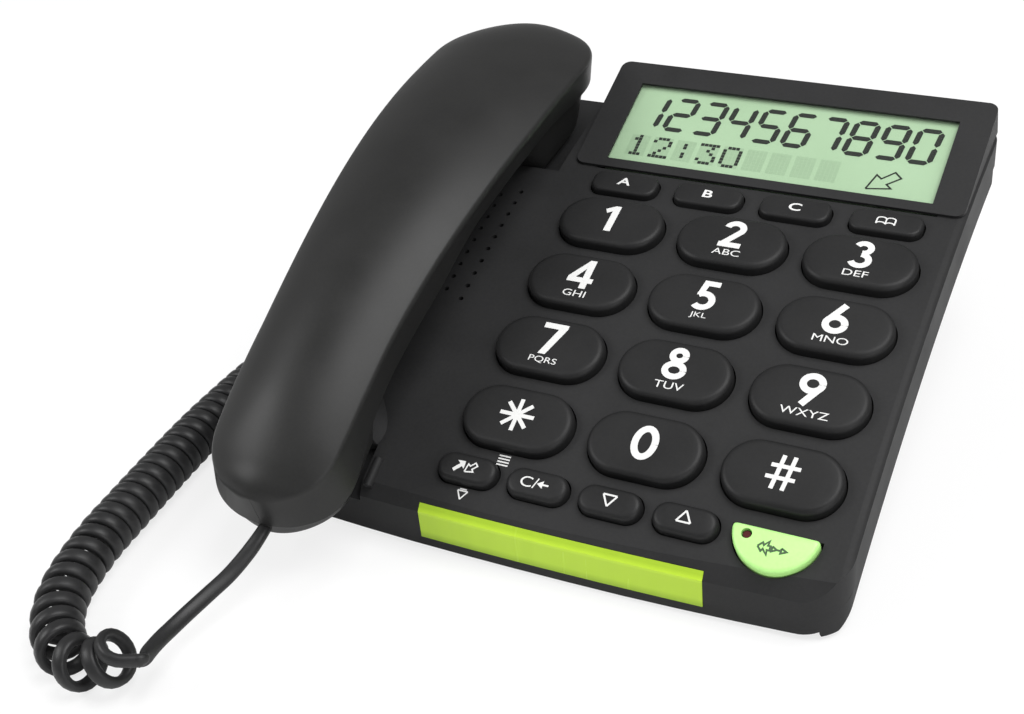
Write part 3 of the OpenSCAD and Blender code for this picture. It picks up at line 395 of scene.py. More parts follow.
def smooth_route(route, per):
    """Catmull-Rom curve through the points: each span is a cubic whose slope at a point is half
    the step between that point's neighbours."""
    p = np.array(route, float)
    i = np.arange(len(p) - 1)
    a, b, c, d = p[np.maximum(i - 1, 0)], p[i], p[i + 1], p[np.minimum(i + 2, len(p) - 1)]
    u = (np.arange(per) / per)[None, :, None]
    a, b, c, d = (x[:, None, :] for x in (a, b, c, d))
    square = 2 * a - 5 * b + 4 * c - d
    cube = 3 * b - a - 3 * c + d
    curve = 0.5 * (2 * b + (c - a) * u + square * u**2 + cube * u**3)
    return np.vstack([curve.reshape(-1, 3), p[-1:]])


def run_length(path):
    """The summed lengths of a path's steps."""
    return float(np.linalg.norm(np.diff(path, axis=0), axis=1).sum())


def ease(x):
    """0 below 0, 1 above 1, and 3x^2 - 2x^3 between."""
    x = np.clip(x, 0, 1)
    return x * x * (3 - 2 * x)


def unit(v):
    """Vectors divided by their own lengths."""
    return v / np.linalg.norm(v, axis=-1, keepdims=True)


curl_axis = smooth_route(CURL_ROUTE, 24)
axis_marks = np.concatenate([[0], np.cumsum(np.linalg.norm(np.diff(curl_axis, axis=0), axis=1))])
turn_marks, place_marks = [0], [LEAD_IN]
for run_turns, pitch in OPEN_RUNS:
    turn_marks.append(turn_marks[-1] + run_turns)
    place_marks.append(place_marks[-1] + run_turns * pitch)
tight_turns = math.floor((axis_marks[-1] - END_RUN - place_marks[-1]) / TIGHT_PITCH)
turn_marks.append(turn_marks[-1] + tight_turns)
place_marks.append(place_marks[-1] + tight_turns * TIGHT_PITCH)
TURNS = turn_marks[-1]


def along_axis(s):
    """The points at the lengths s along the curls' route, held at both of its ends."""
    s = np.clip(s, 0, axis_marks[-1])
    return np.stack([np.interp(s, axis_marks, curl_axis[:, i]) for i in range(3)], axis=-1)


def curl_points(k):
    """A helix round the smooth route: turn k stands a radius away from the route, at START_ANGLE
    - 360 k degrees. The pitch goes from wide open at the front to nearly closed, and the radius
    eases out over the last turn. Gives the points and the outward direction at each."""
    s = np.interp(k, turn_marks, place_marks)
    heading = unit(along_axis(s + 2) - along_axis(s - 2))
    across = unit(np.cross(heading, [0, 0, 1]))
    angle = np.radians(START_ANGLE - 360 * k)[:, None]
    out = np.cos(angle) * across + np.sin(angle) * np.cross(across, heading)
    radius = ((CURL_OD - JACKET_T) / 2 * ease(TURNS - k))[:, None]
    return along_axis(s) + radius * out, out


def flat_tube(name, path, thin, width, finish, sides=16):
    """Tube with an oval section: thin gives the direction of its small width at each ring, width
    its large one. Where a row of thin is zero, the direction is carried on from the ring before.
    The section is a superellipse, so its broad faces stay nearly flat."""
    heading = unit(np.gradient(path, axis=0))
    thin = thin.copy()
    for i in range(len(path)):
        guide = thin[i] if thin[i].any() else thin[i - 1]
        thin[i] = unit(guide - heading[i] * (guide @ heading[i]))
    wide = np.cross(heading, thin)
    angle = np.linspace(0, 2 * np.pi, sides, endpoint=False)
    broad = np.sign(np.cos(angle)) * np.abs(np.cos(angle)) ** 0.8
    narrow = np.sign(np.sin(angle)) * np.abs(np.sin(angle)) ** 0.8
    rings = (path[:, None] + width[:, None, None] / 2 * broad[None, :, None] * wide[:, None]
             + JACKET_T / 2 * narrow[None, :, None] * thin[:, None])
    return rings_solid(name, rings, finish)


# %% [markdown]
# The curly stretch and the lead at the base are one tube here, because a jacket has no joint. Each
# lead is a little narrower than the curls, and the handset's turns its flat side to the camera.

# %% Cord pieces
RINGS = 24
JOIN_W, WIDEN_TURNS = 3.62, 2.5
LEAD_W, LEAD_WIDENS = 3.6, 0.6
TO_CAMERA = np.array([0.6, -0.3, 0.74])
curls, outward = curl_points(np.arange(TURNS * RINGS + 1) / RINGS)
first_step = curl_points(np.array([0, 0.005]))[0]
curl_heading = unit(first_step[1] - first_step[0])
cord_join = curls[0] - STRAIGHT_RUN * curl_heading
base_path = smooth_route(BASE_LEAD, 6)[::-1]
long_path = np.vstack([cord_join, curls, base_path])
long_thin = np.vstack([outward[:1], outward, np.zeros_like(base_path)])
long_thin[-len(base_path) - RINGS:] = 0
turn = np.concatenate([[0], np.arange(len(curls)) / RINGS, np.full(len(base_path), TURNS)])
long_width = JOIN_W + (JACKET_W - JOIN_W) * ease(turn / WIDEN_TURNS)

lead_path = smooth_route(HANDSET_LEAD + [cord_join - STRAIGHT_LEAD * curl_heading, cord_join], 8)
share = ease(np.linspace(0, 1, len(lead_path)))[:, None]
at_plug = unit(np.cross([1, 0, 0], lead_path[0] - lead_path[1]))
bend = np.sin(np.pi * share) ** 2
lead_thin = (1 - share) * at_plug + share * outward[0] + bend * TO_CAMERA * 2
swell = ease(np.linspace(0, 6, len(lead_path))) * ease(np.linspace(6, 0, len(lead_path)))
lead_width = LEAD_W + LEAD_WIDENS * swell
lead_width[-1] = long_width[0]

handset_lead = flat_tube("handset_lead", lead_path, lead_thin, lead_width, CORD_JACKET)
curly = flat_tube("curly_cord_jacket", long_path, long_thin, long_width, CORD_JACKET)
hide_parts("handset_cord_lead")
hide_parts("curly_cord", "base_cord_lead")
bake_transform(handset_lead)
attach(curly, "base")
cord_total = run_length(lead_path) + run_length(long_path)
print("curls:", TURNS, "cord in metres:", round(cord_total * MM, 3))

# %% [markdown]
# The handset is two shells that meet at a parting line. The upper one is a low wall with a crowned
# top; the lower one stands a little inside it and grows into a cup at each end. Both are swept
# along the handset's length: every cross-section is worked out from how far along it stands.

# %% Handset shape
HANDSET_X, HANDSET_Y, HANDSET_Z = -60.3, -2.0, 70.0
HANDSET_TILT = math.radians(14)
MOUTH_T, EAR_T = -101.8, 95.4
GRIP_HALF_W, EAR_HALF_W, MOUTH_HALF_W = 20.1, 26.5, 21.8
BOW_R = 312.0
WALL_H = 10.5
CROWN = 6.5
GRIP_DEPTH = 5.5
SHELL_T = 2.0
RIDGE_R = 1.7
MOUTH_END, EAR_END, CROWN_END = 18, 26, 30


def edge_h(t):
    """Height of the bowed ridge: a circle's, and 0 in the middle."""
    return np.sqrt(BOW_R**2 - t**2) - BOW_R


def side_w(t):
    """Half the width along the sides: the grip's, eased into the mouth's and the ear's."""
    return (GRIP_HALF_W + (MOUTH_HALF_W - GRIP_HALF_W) * ease((-52 - t) / 32)
            + (EAR_HALF_W - GRIP_HALF_W) * ease((t + 72) / 127))


def end_round(k, n):
    """Superellipse rise from 0 at k = 0 to 1 at k = 1."""
    return (1 - (1 - np.clip(k, 1e-6, 1)) ** n) ** (1 / n)


def half_w(t, inset):
    """Half the width of the plan: the sides, drawn in, times a superellipse at each end."""
    return ((side_w(t) - inset) * end_round((t - MOUTH_T - inset) / MOUTH_END, 2.2)
            * end_round((EAR_T - inset - t) / EAR_END, 2.3))


def crown_h(t, inset):
    """Rise of the top over its ridge: an ellipse at each end, level between."""
    return (CROWN * end_round((t - MOUTH_T - inset) / CROWN_END, 2)
            * end_round((EAR_T - inset - t) / EAR_END, 2))


def parting_h(t):
    """Height of the parting line: a wall's height under the ridge, a little less at the mouth."""
    return edge_h(t) - WALL_H + 0.7 * ease((-94 - t) / 6)


def wall_tuck(t):
    """How far further in the wall stands at the parting line than at its ridge."""
    return 1.7 * ease((t + 90) / 25) + 2.2 * ease((t + 30) / 35) - 1.4 * ease((t - 48) / 18)


def under_h(t):
    """Height of the underside: the grip's, eased down into the mouth cup and the ear cup."""
    grip = parting_h(t) - GRIP_DEPTH
    mouth = grip + (-32 - grip) * ease((-62 - t) / 6)
    ear = -34.4 - (t - 50) * 0.07
    return mouth + (ear - mouth) * ease((t - 38) / 12)


def stations(inset, count):
    """Places along the handset, closer together near both ends, where the plan turns fastest."""
    a, b = MOUTH_T + inset, EAR_T - inset
    return (a + b) / 2 - (b - a) / 2 * np.cos(np.pi * np.arange(count + 1) / count)


def in_handset(x, t, h):
    """From the handset's own sideways, lengthwise and height values to the model's millimetres."""
    c, s = math.cos(HANDSET_TILT), math.sin(HANDSET_TILT)
    return np.stack([HANDSET_X + x, HANDSET_Y + t * c - h * s, HANDSET_Z + t * s + h * c], axis=-1)


def upper_section(inset, count=150, wall_steps=5, arc_steps=7, top_steps=22):
    """From the right parting line up the wall, round a ridge arc and over a parabola to the left.
    The arc starts at the wall's slope and ends at the parabola's, so all three meet smoothly."""
    t = stations(inset, count)[:, None]
    w, p, c = half_w(t, inset), parting_h(t), crown_h(t, inset)
    rise = 1.02 * (WALL_H - inset)
    lean = (0.5 + 2.2 * ease((-55 - t) / 35)) * np.minimum(1, w / 9)
    r = np.minimum(RIDGE_R, 0.35 * w)
    run = np.maximum(w - lean - 0.5 * r, 0.2)
    end = math.pi / 2 - np.arctan(2 * c / run)
    cx = w - lean - r
    cz = p + rise - r * np.sin(end)
    tuck = wall_tuck(t) * np.minimum(1, w / 9)
    begin = -np.arctan(np.maximum(tuck - lean, 0) / (0.75 * rise))
    foot_x, foot_z = w - tuck, p
    v = np.linspace(0, 1, wall_steps)[None, :-1]
    wall_x = foot_x + (cx + r * np.cos(begin) - foot_x) * v
    wall_z = foot_z + (cz + r * np.sin(begin) - foot_z) * v
    a = begin + np.linspace(0, 1, arc_steps)[None] * (end - begin)
    arc_x, arc_z = cx + r * np.cos(a), cz + r * np.sin(a)
    u = np.linspace(1, 0, top_steps)[None, 1:]
    reach = cx + r * np.cos(end)
    top_x, top_z = reach * u, p + rise + c * (1 - u**2)
    x = np.hstack([wall_x, arc_x, top_x])
    z = np.hstack([wall_z, arc_z, top_z])
    x, z = np.hstack([x, -x[:, -2::-1]]), np.hstack([z, z[:, -2::-1]])
    return in_handset(x, np.broadcast_to(t, x.shape), z)


LOWER_EDGE_DEPTH = [0, 0.06, 0.14, 0.35, 0.6, 0.8, 0.9, 0.97, 1.0]
LOWER_EDGE_IN = [0, 0.075, 0.10, 0.125, 0.15, 0.185, 0.23, 0.30, 0.42]


def lower_section(inset, count=150, side_steps=40, flat_steps=8):
    """From the right parting line down the wall and across the flat underside to the left. Both
    cups lean, so a point shifts along the handset in proportion to its depth."""
    t = stations(inset, count)[:, None]
    wide, p = half_w(t, inset), parting_h(t) - 0.05
    w = wide - 0.3 - wall_tuck(t) * np.minimum(1, wide / 9)
    depth = p - under_h(t) - inset
    lean = 0.8 * ease((t - 62) / 30) - 0.25 * ease((-84 - t) / 14)
    v = np.linspace(0, 1, side_steps)
    fine = np.interp(v, np.linspace(0, 1, len(LOWER_EDGE_DEPTH)), LOWER_EDGE_DEPTH)
    narrow = np.interp(fine, LOWER_EDGE_DEPTH, LOWER_EDGE_IN)
    smoothing = np.ones(5) / 5
    narrow[2:-2] = np.convolve(narrow, smoothing, "valid")
    x = w * (1 - narrow[None])
    down = np.broadcast_to(fine[None], x.shape)
    flat = np.linspace(1, 0, flat_steps)[None, 1:] * x[:, -1:]
    x = np.hstack([x, flat])
    down = np.hstack([down, np.ones_like(flat)])
    x, down = np.hstack([x, -x[:, -2::-1]]), np.hstack([down, down[:, -2::-1]])
    return in_handset(x, t - lean * down * depth, p - down * depth)


def shell(name, outer, inner, finish):
    """Closed thin shell: an outer and an inner grid of the same size, joined round their rims."""
    rows, cols = outer.shape[:2]
    count = rows * cols
    faces = grid_faces(rows, cols)
    faces += [face[::-1] for face in grid_faces(rows, cols, start=count)]
    border = [r * cols for r in range(rows)]
    border += [(rows - 1) * cols + c for c in range(1, cols)]
    border += [r * cols + cols - 1 for r in range(rows - 2, -1, -1)]
    border += range(cols - 2, 0, -1)
    for a, b in zip(border, border[1:] + border[:1]):
        faces.append([a, a + count, b + count, b])
    return add_mesh(name, np.concatenate([outer.reshape(-1, 3), inner.reshape(-1, 3)]), faces, finish)


upper = shell("handset_upper", upper_section(0), upper_section(SHELL_T), HANDSET)
lower = shell("handset_lower", lower_section(0), lower_section(SHELL_T), HANDSET)
for piece, node in ((upper, "handset_upper_shell"), (lower, "handset_lower_shell")):
    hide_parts(node)
    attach(piece, "handset")
print("handset faces:", len(upper.data.polygons) + len(lower.data.polygons))

# %% [markdown]
# The deck is a slice of a wide cylinder. A place on it is given by X and by the way up the slope
# from the keypad's middle, and everything that sits on a key is drawn flat first and laid on the
# deck by one function.

# %% Laying things on the deck
DECK_R = 477.0
DECK_TILT = math.radians(18)
AXIS_Y = DECK_R * math.sin(DECK_TILT) - 7.9
AXIS_Z = 40.1 - DECK_R * math.cos(DECK_TILT)
KEYPAD_X = 28.0
KEY_PITCH_X, KEY_PITCH_Y = 37.0, 24.1


def on_deck(points, x, s):
    """Points (right, up the slope, out of the deck) at a place on the deck, in model millimetres."""
    points = np.asarray(points, float)
    a = DECK_TILT - s / DECK_R
    y = AXIS_Y - DECK_R * math.sin(a) + points[..., 1] * math.cos(a) - points[..., 2] * math.sin(a)
    z = AXIS_Z + DECK_R * math.cos(a) + points[..., 1] * math.sin(a) + points[..., 2] * math.cos(a)
    return np.stack([x + points[..., 0], y, z], axis=-1)


# %% [markdown]
# Each key cap is an outline drawn in again and again while it rises: straight up its side, round a
# quarter arc at its rim, and over a slight dome. The dome keeps the light from lying flat on it.

# %% Key caps
SKIRT = 3.6


def round_outline(half_w, half_d, r, steps=14):
    """Rectangle outline with round corners, counter-clockwise: four arcs joined by their ends."""
    turn = np.linspace(0, np.pi / 2, steps)
    arcs = [
        (sx * (half_w - r) + r * np.cos(turn + start), sy * (half_d - r) + r * np.sin(turn + start))
        for sx, sy, start in ((1, 1, 0), (-1, 1, np.pi / 2), (-1, -1, np.pi), (1, -1, 1.5 * np.pi))
    ]
    return np.hstack(arcs).T


def cap_profile(height, rim_r, rim_in, dome, reach, steps=8):
    """(inset, height) pairs: skirt, quarter-ellipse rim, then a parabola dome up to the middle."""
    a = np.linspace(0, np.pi / 2, steps)
    rim = np.stack([rim_in * (1 - np.cos(a)), height - rim_r + rim_r * np.sin(a)], axis=-1)
    u = np.linspace(0, 1, 7)[1:]
    top = np.stack([rim_in + (reach - rim_in) * u, height + dome * (1 - (1 - u) ** 2)], axis=-1)
    return np.vstack([[[0, -SKIRT]], rim, top])


def key_cap(name, half_w, half_d, r, profile, finish, x, s):
    """Stacks the outline, drawn in and raised by each pair of the profile, and closes it."""
    rings = []
    for inset, height in profile:
        flat = round_outline(half_w - inset, half_d - inset, max(r - inset, 0.02))
        rings.append(np.column_stack([flat, np.full(len(flat), height)]))
    return rings_solid(name, on_deck(np.array(rings), x, s), finish)


DIGIT_KEYS = ["key_" + sign for sign in "1 2 3 4 5 6 7 8 9 star 0 hash".split()]
MEMORY_KEYS = ["memory_key_a", "memory_key_b", "memory_key_c", "phonebook_key"]
FUNCTION_KEYS = ["redial_key", "clear_key", "down_key", "up_key"]
MEMORY_STEP, MEMORY_S = 26.4, 53.9
FUNCTION_X, FUNCTION_S = [-45, -24.4, -3.8, 16.8], -53.7
KEY_PLACE = {}
for i, key in enumerate(DIGIT_KEYS):
    KEY_PLACE[key] = (KEYPAD_X + (i % 3 - 1) * KEY_PITCH_X, (1.5 - i // 3) * KEY_PITCH_Y)
for i, key in enumerate(MEMORY_KEYS):
    KEY_PLACE[key] = (KEYPAD_X + (i - 1.5) * MEMORY_STEP, MEMORY_S)
for i, key in enumerate(FUNCTION_KEYS):
    KEY_PLACE[key] = (KEYPAD_X + FUNCTION_X[i], FUNCTION_S)

DIGIT_TOP, MEMORY_TOP, FUNCTION_TOP = 3.4, 2.35, 3.0
# Keys, half width, half depth, corner radius and profile
CAP_SHAPES = (
    (DIGIT_KEYS, 16, 9.5, 9.48, cap_profile(DIGIT_TOP - 0.1, 1.7, 1.9, 0.1, 9.4)),
    (MEMORY_KEYS, 10.4, 4.5, 3.6, cap_profile(MEMORY_TOP - 0.1, 1.1, 1.1, 0.1, 4.4)),
    (FUNCTION_KEYS, 8.75, 4.25, 4.23, cap_profile(FUNCTION_TOP - 0.15, 1.6, 1.7, 0.15, 4.2)),
)
for keys, half_width, half_depth, corner, profile in CAP_SHAPES:
    for key in keys:
        cap = key_cap(key + "_cap", half_width, half_depth, corner, profile, KEY_CAP, *KEY_PLACE[key])
        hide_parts(key)
        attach(cap, key)
print("key caps:", len(KEY_PLACE))

# %% [markdown]
# The hands-free key is a half moon with its straight edge to the rear. Its outline is a circle's
# arc and a straight line; drawing it in is done by moving both and letting them meet again. The
# round hole for the red lamp has as many points as the outline, so their rings stack too.

# %% Hands-free key
MOON_X, MOON_S = KEYPAD_X + 40, -50.8
MOON_HALF_W, MOON_D, MOON_TOP, MOON_RIM = 11.3, 11.2, 2.4, 1.1
CORNER_PASSES = 3


def half_moon(inset, arc_steps=60, line_steps=40):
    """Half-moon outline: a chord moved in by the inset, and the arc of a smaller circle. A short
    average along the outline, taken a few times, rounds its two corners."""
    r = (MOON_HALF_W**2 + MOON_D**2) / (2 * MOON_D)
    centre = r - MOON_D
    rr = r - inset
    top = -inset
    half = math.sqrt(rr**2 - (top - centre) ** 2)
    start = math.atan2(top - centre, -half)
    stop = math.atan2(top - centre, half)
    angle = np.linspace(start, stop, arc_steps)
    arc = np.stack([rr * np.cos(angle), centre + rr * np.sin(angle)], axis=-1)
    line = np.stack([np.linspace(half, -half, line_steps), np.full(line_steps, top)], axis=-1)
    outline = np.vstack([arc, line[1:-1]])
    for _ in range(CORNER_PASSES):
        outline = sum(np.roll(outline, k, axis=0) for k in (-1, 0, 1)) / 3
    return outline


rim = np.linspace(0, np.pi / 2, 7)
moon_profile = [(0, -SKIRT)] + [
    (MOON_RIM * (1 - math.cos(a)), MOON_TOP - MOON_RIM + MOON_RIM * math.sin(a)) for a in rim
]
moon_flats = [(half_moon(inset), height) for inset, height in moon_profile]
LAMP_HOLE, LAMP_HOLE_R = np.array([-7.0, -2.6]), 1.4
hole = LAMP_HOLE + LAMP_HOLE_R * unit(moon_flats[-1][0] - LAMP_HOLE)
moon_flats += [(hole, MOON_TOP), (hole, -SKIRT)]
moon_rings = np.array([np.column_stack([flat, np.full(len(flat), height)]) for flat, height in moon_flats])
rows, cols = moon_rings.shape[:2]
moon_faces = grid_faces(rows, cols, wrap=True)
first, last = np.arange(cols), (rows - 1) * cols + np.arange(cols)
moon_faces += np.stack([last, np.roll(last, -1), np.roll(first, -1), first], axis=-1).tolist()
moon_points = on_deck(moon_rings.reshape(-1, 3), MOON_X, MOON_S)
moon = add_mesh("hands_free_cap", moon_points, moon_faces, GREEN_CAP)
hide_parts("speaker_key")
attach(moon, "speaker_key")
print("hands-free key faces:", len(moon_faces))

# %% [markdown]
# Prints are drawn with a pen: a stroke of even width along a short line or arc, laid a few
# hundredths of a millimetre above the cap. The large figures are bold and geometric, so a handful
# of arcs and lines makes each of them.

# %% Pen strokes
PRINT_LIFT = 0.03
LAYER_STEP = 0.004


def arc(cx, cy, rx, ry, start, stop, steps=28):
    """Points on an ellipse from one angle to another, in degrees."""
    a = np.radians(np.linspace(start, stop, steps))
    return np.stack([cx + rx * np.cos(a), cy + ry * np.sin(a)], axis=-1)


def line(*points):
    """Straight steps from each point to the next."""
    return np.array(points, float)


def stroke(path, width):
    """Even ribbon along a path: at each point the two sides stand half the width away, along the
    average normal, lengthened at corners so that the width stays even."""
    path = np.asarray(path, float)
    step = unit(np.diff(path, axis=0))
    before = np.vstack([step[:1], step])
    after = np.vstack([step, step[-1:]])
    mean = unit(before + after)
    normal = np.stack([-mean[:, 1], mean[:, 0]], axis=-1)
    cosine = np.clip((mean * after).sum(axis=1), 0.45, 1)[:, None]
    offset = normal * width / 2 / cosine
    return np.stack([path + offset, path - offset])


def printed(name, paths, pen, x, s, height, body, finish=PRINT, slot="key", shapes=()):
    """Strokes of one width and flat shapes as one mesh on the deck. Each one lies a hair above the
    last."""
    points, faces, start = [], [], 0
    for i, path in enumerate(paths):
        sides = stroke(path, pen)
        count = sides.shape[1]
        level = np.full((2, count, 1), height + PRINT_LIFT + i * LAYER_STEP)
        points.append(np.concatenate([sides, level], axis=-1).reshape(-1, 3))
        faces += [face[::-1] for face in grid_faces(2, count, start)]
        start += 2 * count
    for i, shape in enumerate(shapes):
        level = height + PRINT_LIFT + (len(paths) + i) * LAYER_STEP
        points.append(np.column_stack([shape, np.full(len(shape), level)]))
        faces.append(list(range(start, start + len(shape))))
        start += len(shape)
    piece = add_mesh(name, on_deck(np.vstack(points), x, s), faces, finish)
    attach(piece, body)


# %% [markdown]
# The figures stand in a box one unit high. Round parts are strokes along ellipses; figures with
# slanted cuts are flat shapes, given by their corners counter-clockwise.

# %% Bold figures
FIGURE_H = 10.4
PEN = 0.182
E = PEN / 2
STAR_R = 0.48


def box_arc(cx, cy, rx, ry, start, stop):
    """An ellipse whose outer edge, not its middle line, has the given radii."""
    return arc(cx, cy, rx - E, ry - E, start, stop)


FIGURES = {
    "2": [np.vstack([box_arc(0, 0.71, 0.31, 0.29, 172, -38), line((-0.20, E))]),
          line((-0.30, E), (0.32, E))],
    "3": [box_arc(0, 0.735, 0.28, 0.265, 158, -92), box_arc(0, 0.295, 0.32, 0.295, 92, -158)],
    "5": [box_arc(-0.02, 0.325, 0.335, 0.325, 132, -138)],
    "6": [box_arc(0, 0.315, 0.335, 0.315, 0, 360), line((0.13, 0.97), (-0.195, 0.44))],
    "8": [box_arc(0, 0.745, 0.265, 0.255, 0, 360), box_arc(0, 0.29, 0.33, 0.29, 0, 360)],
    "9": [box_arc(0, 0.685, 0.335, 0.315, 0, 360), line((-0.13, 0.03), (0.195, 0.56))],
    "0": [box_arc(0, 0.5, 0.35, 0.5, 0, 360)],
    "star": [line((STAR_R * math.cos(a), 0.5 + STAR_R * math.sin(a)),
                  (-STAR_R * math.cos(a), 0.5 - STAR_R * math.sin(a)))
             for a in np.radians([0, 45, 90, 135])],
    "hash": [line((-0.16, 0.02), (-0.06, 0.98)), line((0.12, 0.02), (0.22, 0.98)),
             line((-0.32, 0.67), (0.42, 0.67)), line((-0.38, 0.34), (0.36, 0.34))],
}
FIGURE_SHAPES = {
    "1": [[(-0.06, 0), (0.14, 0), (0.14, 1), (-0.02, 1), (-0.28, 0.84), (-0.20, 0.69), (-0.06, 0.78)]],
    "4": [[(0.06, 0), (0.25, 0), (0.25, 1), (0.06, 1)],
          [(-0.36, 0.20), (0.06, 0.20), (0.06, 0.37), (-0.36, 0.37)],
          [(0.25, 0.20), (0.37, 0.20), (0.37, 0.37), (0.25, 0.37)],
          [(-0.36, 0.37), (-0.145, 0.37), (0.06, 0.695), (0.06, 0.98)]],
    "5": [[(-0.15, 0.83), (0.29, 0.83), (0.29, 1), (-0.15, 1)],
          [(-0.235, 0.49), (-0.06, 0.56), (0, 0.84), (-0.15, 1)]],
    "7": [[(-0.33, 1), (-0.33, 0.83), (0.10, 0.83), (-0.20, 0), (0.01, 0), (0.34, 0.88), (0.34, 1)]],
}
PEN_SCALE = {"star": 0.62, "hash": 0.60, "3": 0.95, "8": 0.95}
LETTERS = {"2": "ABC", "3": "DEF", "4": "GHI", "5": "JKL", "6": "MNO", "7": "PQRS", "8": "TUV",
           "9": "WXYZ"}


def figure_strokes(sign, cx, cy, height):
    """A figure's strokes, pen width and shapes, scaled to a height and centred on a point."""
    middle, centre = [0, 0.5], [cx, cy]
    paths = [(path - middle) * height + centre for path in FIGURES.get(sign, [])]
    shapes = [(np.array(shape) - middle) * height + centre for shape in FIGURE_SHAPES.get(sign, [])]
    return paths, PEN * PEN_SCALE.get(sign, 1) * height, shapes


# %% [markdown]
# Small letters come from Blender's own font: a text object, thickened a little, made a mesh, and
# then its points are laid on the deck.

# %% Small letters
def lettering(name, text, height, cx, cy, x, s, level, body, bold=0.02, stretch=1.3):
    """Flat letters, scaled to a height and stretched, centred on a point of the key's own plane."""
    curve = bpy.data.curves.new(name, "FONT")
    curve.body = text
    curve.align_x = "CENTER"
    curve.offset = bold
    curve.resolution_u = 6
    flat = bpy.data.objects.new(name, curve)
    mesh = bpy.data.meshes.new_from_object(flat)
    bpy.data.objects.remove(flat)
    points = np.empty(len(mesh.vertices) * 3)
    mesh.vertices.foreach_get("co", points)
    points = points.reshape(-1, 3)
    low, high = points.min(axis=0), points.max(axis=0)
    scale = height / (high[1] - low[1])
    points = (points - (low + high) / 2) * [scale * stretch, scale, 0] + [cx, cy, level + PRINT_LIFT]
    faces = [list(face.vertices) for face in mesh.polygons]
    bpy.data.meshes.remove(mesh)
    piece = add_mesh(name, on_deck(points, x, s), faces, PRINT)
    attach(piece, body)


for key in DIGIT_KEYS:
    sign = key[4:]
    x, s = KEY_PLACE[key]
    lettered = sign in LETTERS
    height = FIGURE_H * (1.02 if lettered else 1.0)
    paths, pen, shapes = figure_strokes(sign, 0, 1.9 if lettered else 0.5, height)
    printed(key + "_figure", paths, pen, x, s, DIGIT_TOP, key, shapes=shapes)
    if lettered:
        lettering(key + "_letters", LETTERS[sign], 2.3, 0.2, -5.4, x, s, DIGIT_TOP - 0.03, key, 0.0)
print("figures:", len(DIGIT_KEYS), "letter groups:", len(LETTERS))

# %% [markdown]
# The small keys carry capitals, an open book, arrows and triangles.

# %% Signs on the small keys
FINE_PEN, THIN_PEN, SIGN_PEN, OUTLINE_PEN = 0.4, 0.42, 0.5, 0.55


def triangle(cx, cy, size, down=False):
    """The three sides of a triangle, each as a line of its own."""
    half = size * 0.62
    tip, foot = (-half, -size * 0.42) if down else (half, size * 0.42)
    corners = [(cx, cy + tip), (cx - half, cy - foot), (cx + half, cy - foot), (cx, cy + tip)]
    return [line(a, b) for a, b in zip(corners, corners[1:])]


for key, capital in zip(MEMORY_KEYS, "ABC"):
    lettering(key + "_letter", capital, 3.2, 0, 0, *KEY_PLACE[key], MEMORY_TOP, key)
upper_edge, lower_edge = (
    [arc(cx, cy, 1.3, 0.8, 180, 0, 10) for cx in (1.3, -1.3)] for cy in (0.4, -1.7)
)
uprights = [line((x, 0.5), (x, y)) for x, y in ((-2.6, -1.7), (2.6, -1.7), (0, -1.4))]
book = upper_edge + uprights + lower_edge
printed("book_sign", book, THIN_PEN, *KEY_PLACE["phonebook_key"], MEMORY_TOP, "phonebook_key")

full_arrow = [[(-3.7, -1.2), (-3.0, -1.9), (-1.0, 0.2), (-1.8, 0.9)],
              [(-2.9, 1.5), (-0.5, -0.7), (-0.6, 1.6)]]
open_arrow = line((0.0, -1.4), (0.4, 1.0), (1.1, 0.5), (2.3, 1.7), (3.1, 0.9), (1.9, -0.3),
                  (2.4, -1.0), (0.0, -1.4))
printed("redial_sign", [open_arrow], FINE_PEN, *KEY_PLACE["redial_key"], FUNCTION_TOP,
        "redial_key", shapes=full_arrow)
clear_place = KEY_PLACE["clear_key"]
lettering("clear_letter", "C/", 3.0, -1.9, 0, *clear_place, FUNCTION_TOP, "clear_key", 0.0, 1.25)
printed("clear_arrow", [line((1.5, 0), (3.6, 0))], SIGN_PEN, *clear_place, FUNCTION_TOP,
        "clear_key", shapes=[[(0.3, 0), (2.0, -1.1), (2.0, 1.1)]])
for key, down in (("down_key", True), ("up_key", False)):
    sides = triangle(0, 0.3, 3.1, down)
    printed(key + "_sign", sides, SIGN_PEN, *KEY_PLACE[key], FUNCTION_TOP, key)

# %% [markdown]
# Two small signs are printed on the deck itself, beside the first function key, and the green key
# carries a loudspeaker and arrows in dark outline.

# %% Signs on the deck and the green key
lines_sign = [line((-1.7, y), (1.7, y)) for y in (-1.35, -0.45, 0.45, 1.35)]
printed("menu_lines", lines_sign, THIN_PEN, -8.9, -48.2, 0.0, "base", slot="housing")
shift_sign = triangle(0, 0, 2.4, True) + [line((-1, 1.5), (1, 1.5))]
printed("shift_sign", shift_sign, FINE_PEN, -16.6, -60.4, 0.0, "base", slot="housing")
speaker_sign = [
    line((-3.4, -5.2), (-2.3, -4.0), (-1.9, -4.7), (-0.7, -3.3), (-0.9, -4.6), (-0.2, -4.6), (-0.2, -5.8),
         (-0.9, -5.8), (-0.7, -7.1), (-1.9, -5.7), (-2.3, -6.4), (-3.4, -5.2)),
    line((0.3, -4.5), (1.5, -5.2), (0.3, -5.9), (0.3, -4.5)),
    line((1.5, -5.2), (2.6, -5.2)),
    line((2.6, -4.5), (4.0, -5.2), (2.6, -5.9), (2.6, -4.5)),
]
printed("hands_free_sign", speaker_sign, OUTLINE_PEN, MOON_X, MOON_S, MOON_TOP, "speaker_key",
        ICON_GREY, "green_key")

# %% [markdown]
# The display lies in its own plane, in the slope of its housing. Its upper row has ten
# seven-segment figures that lean a little, its lower row is a dot matrix.

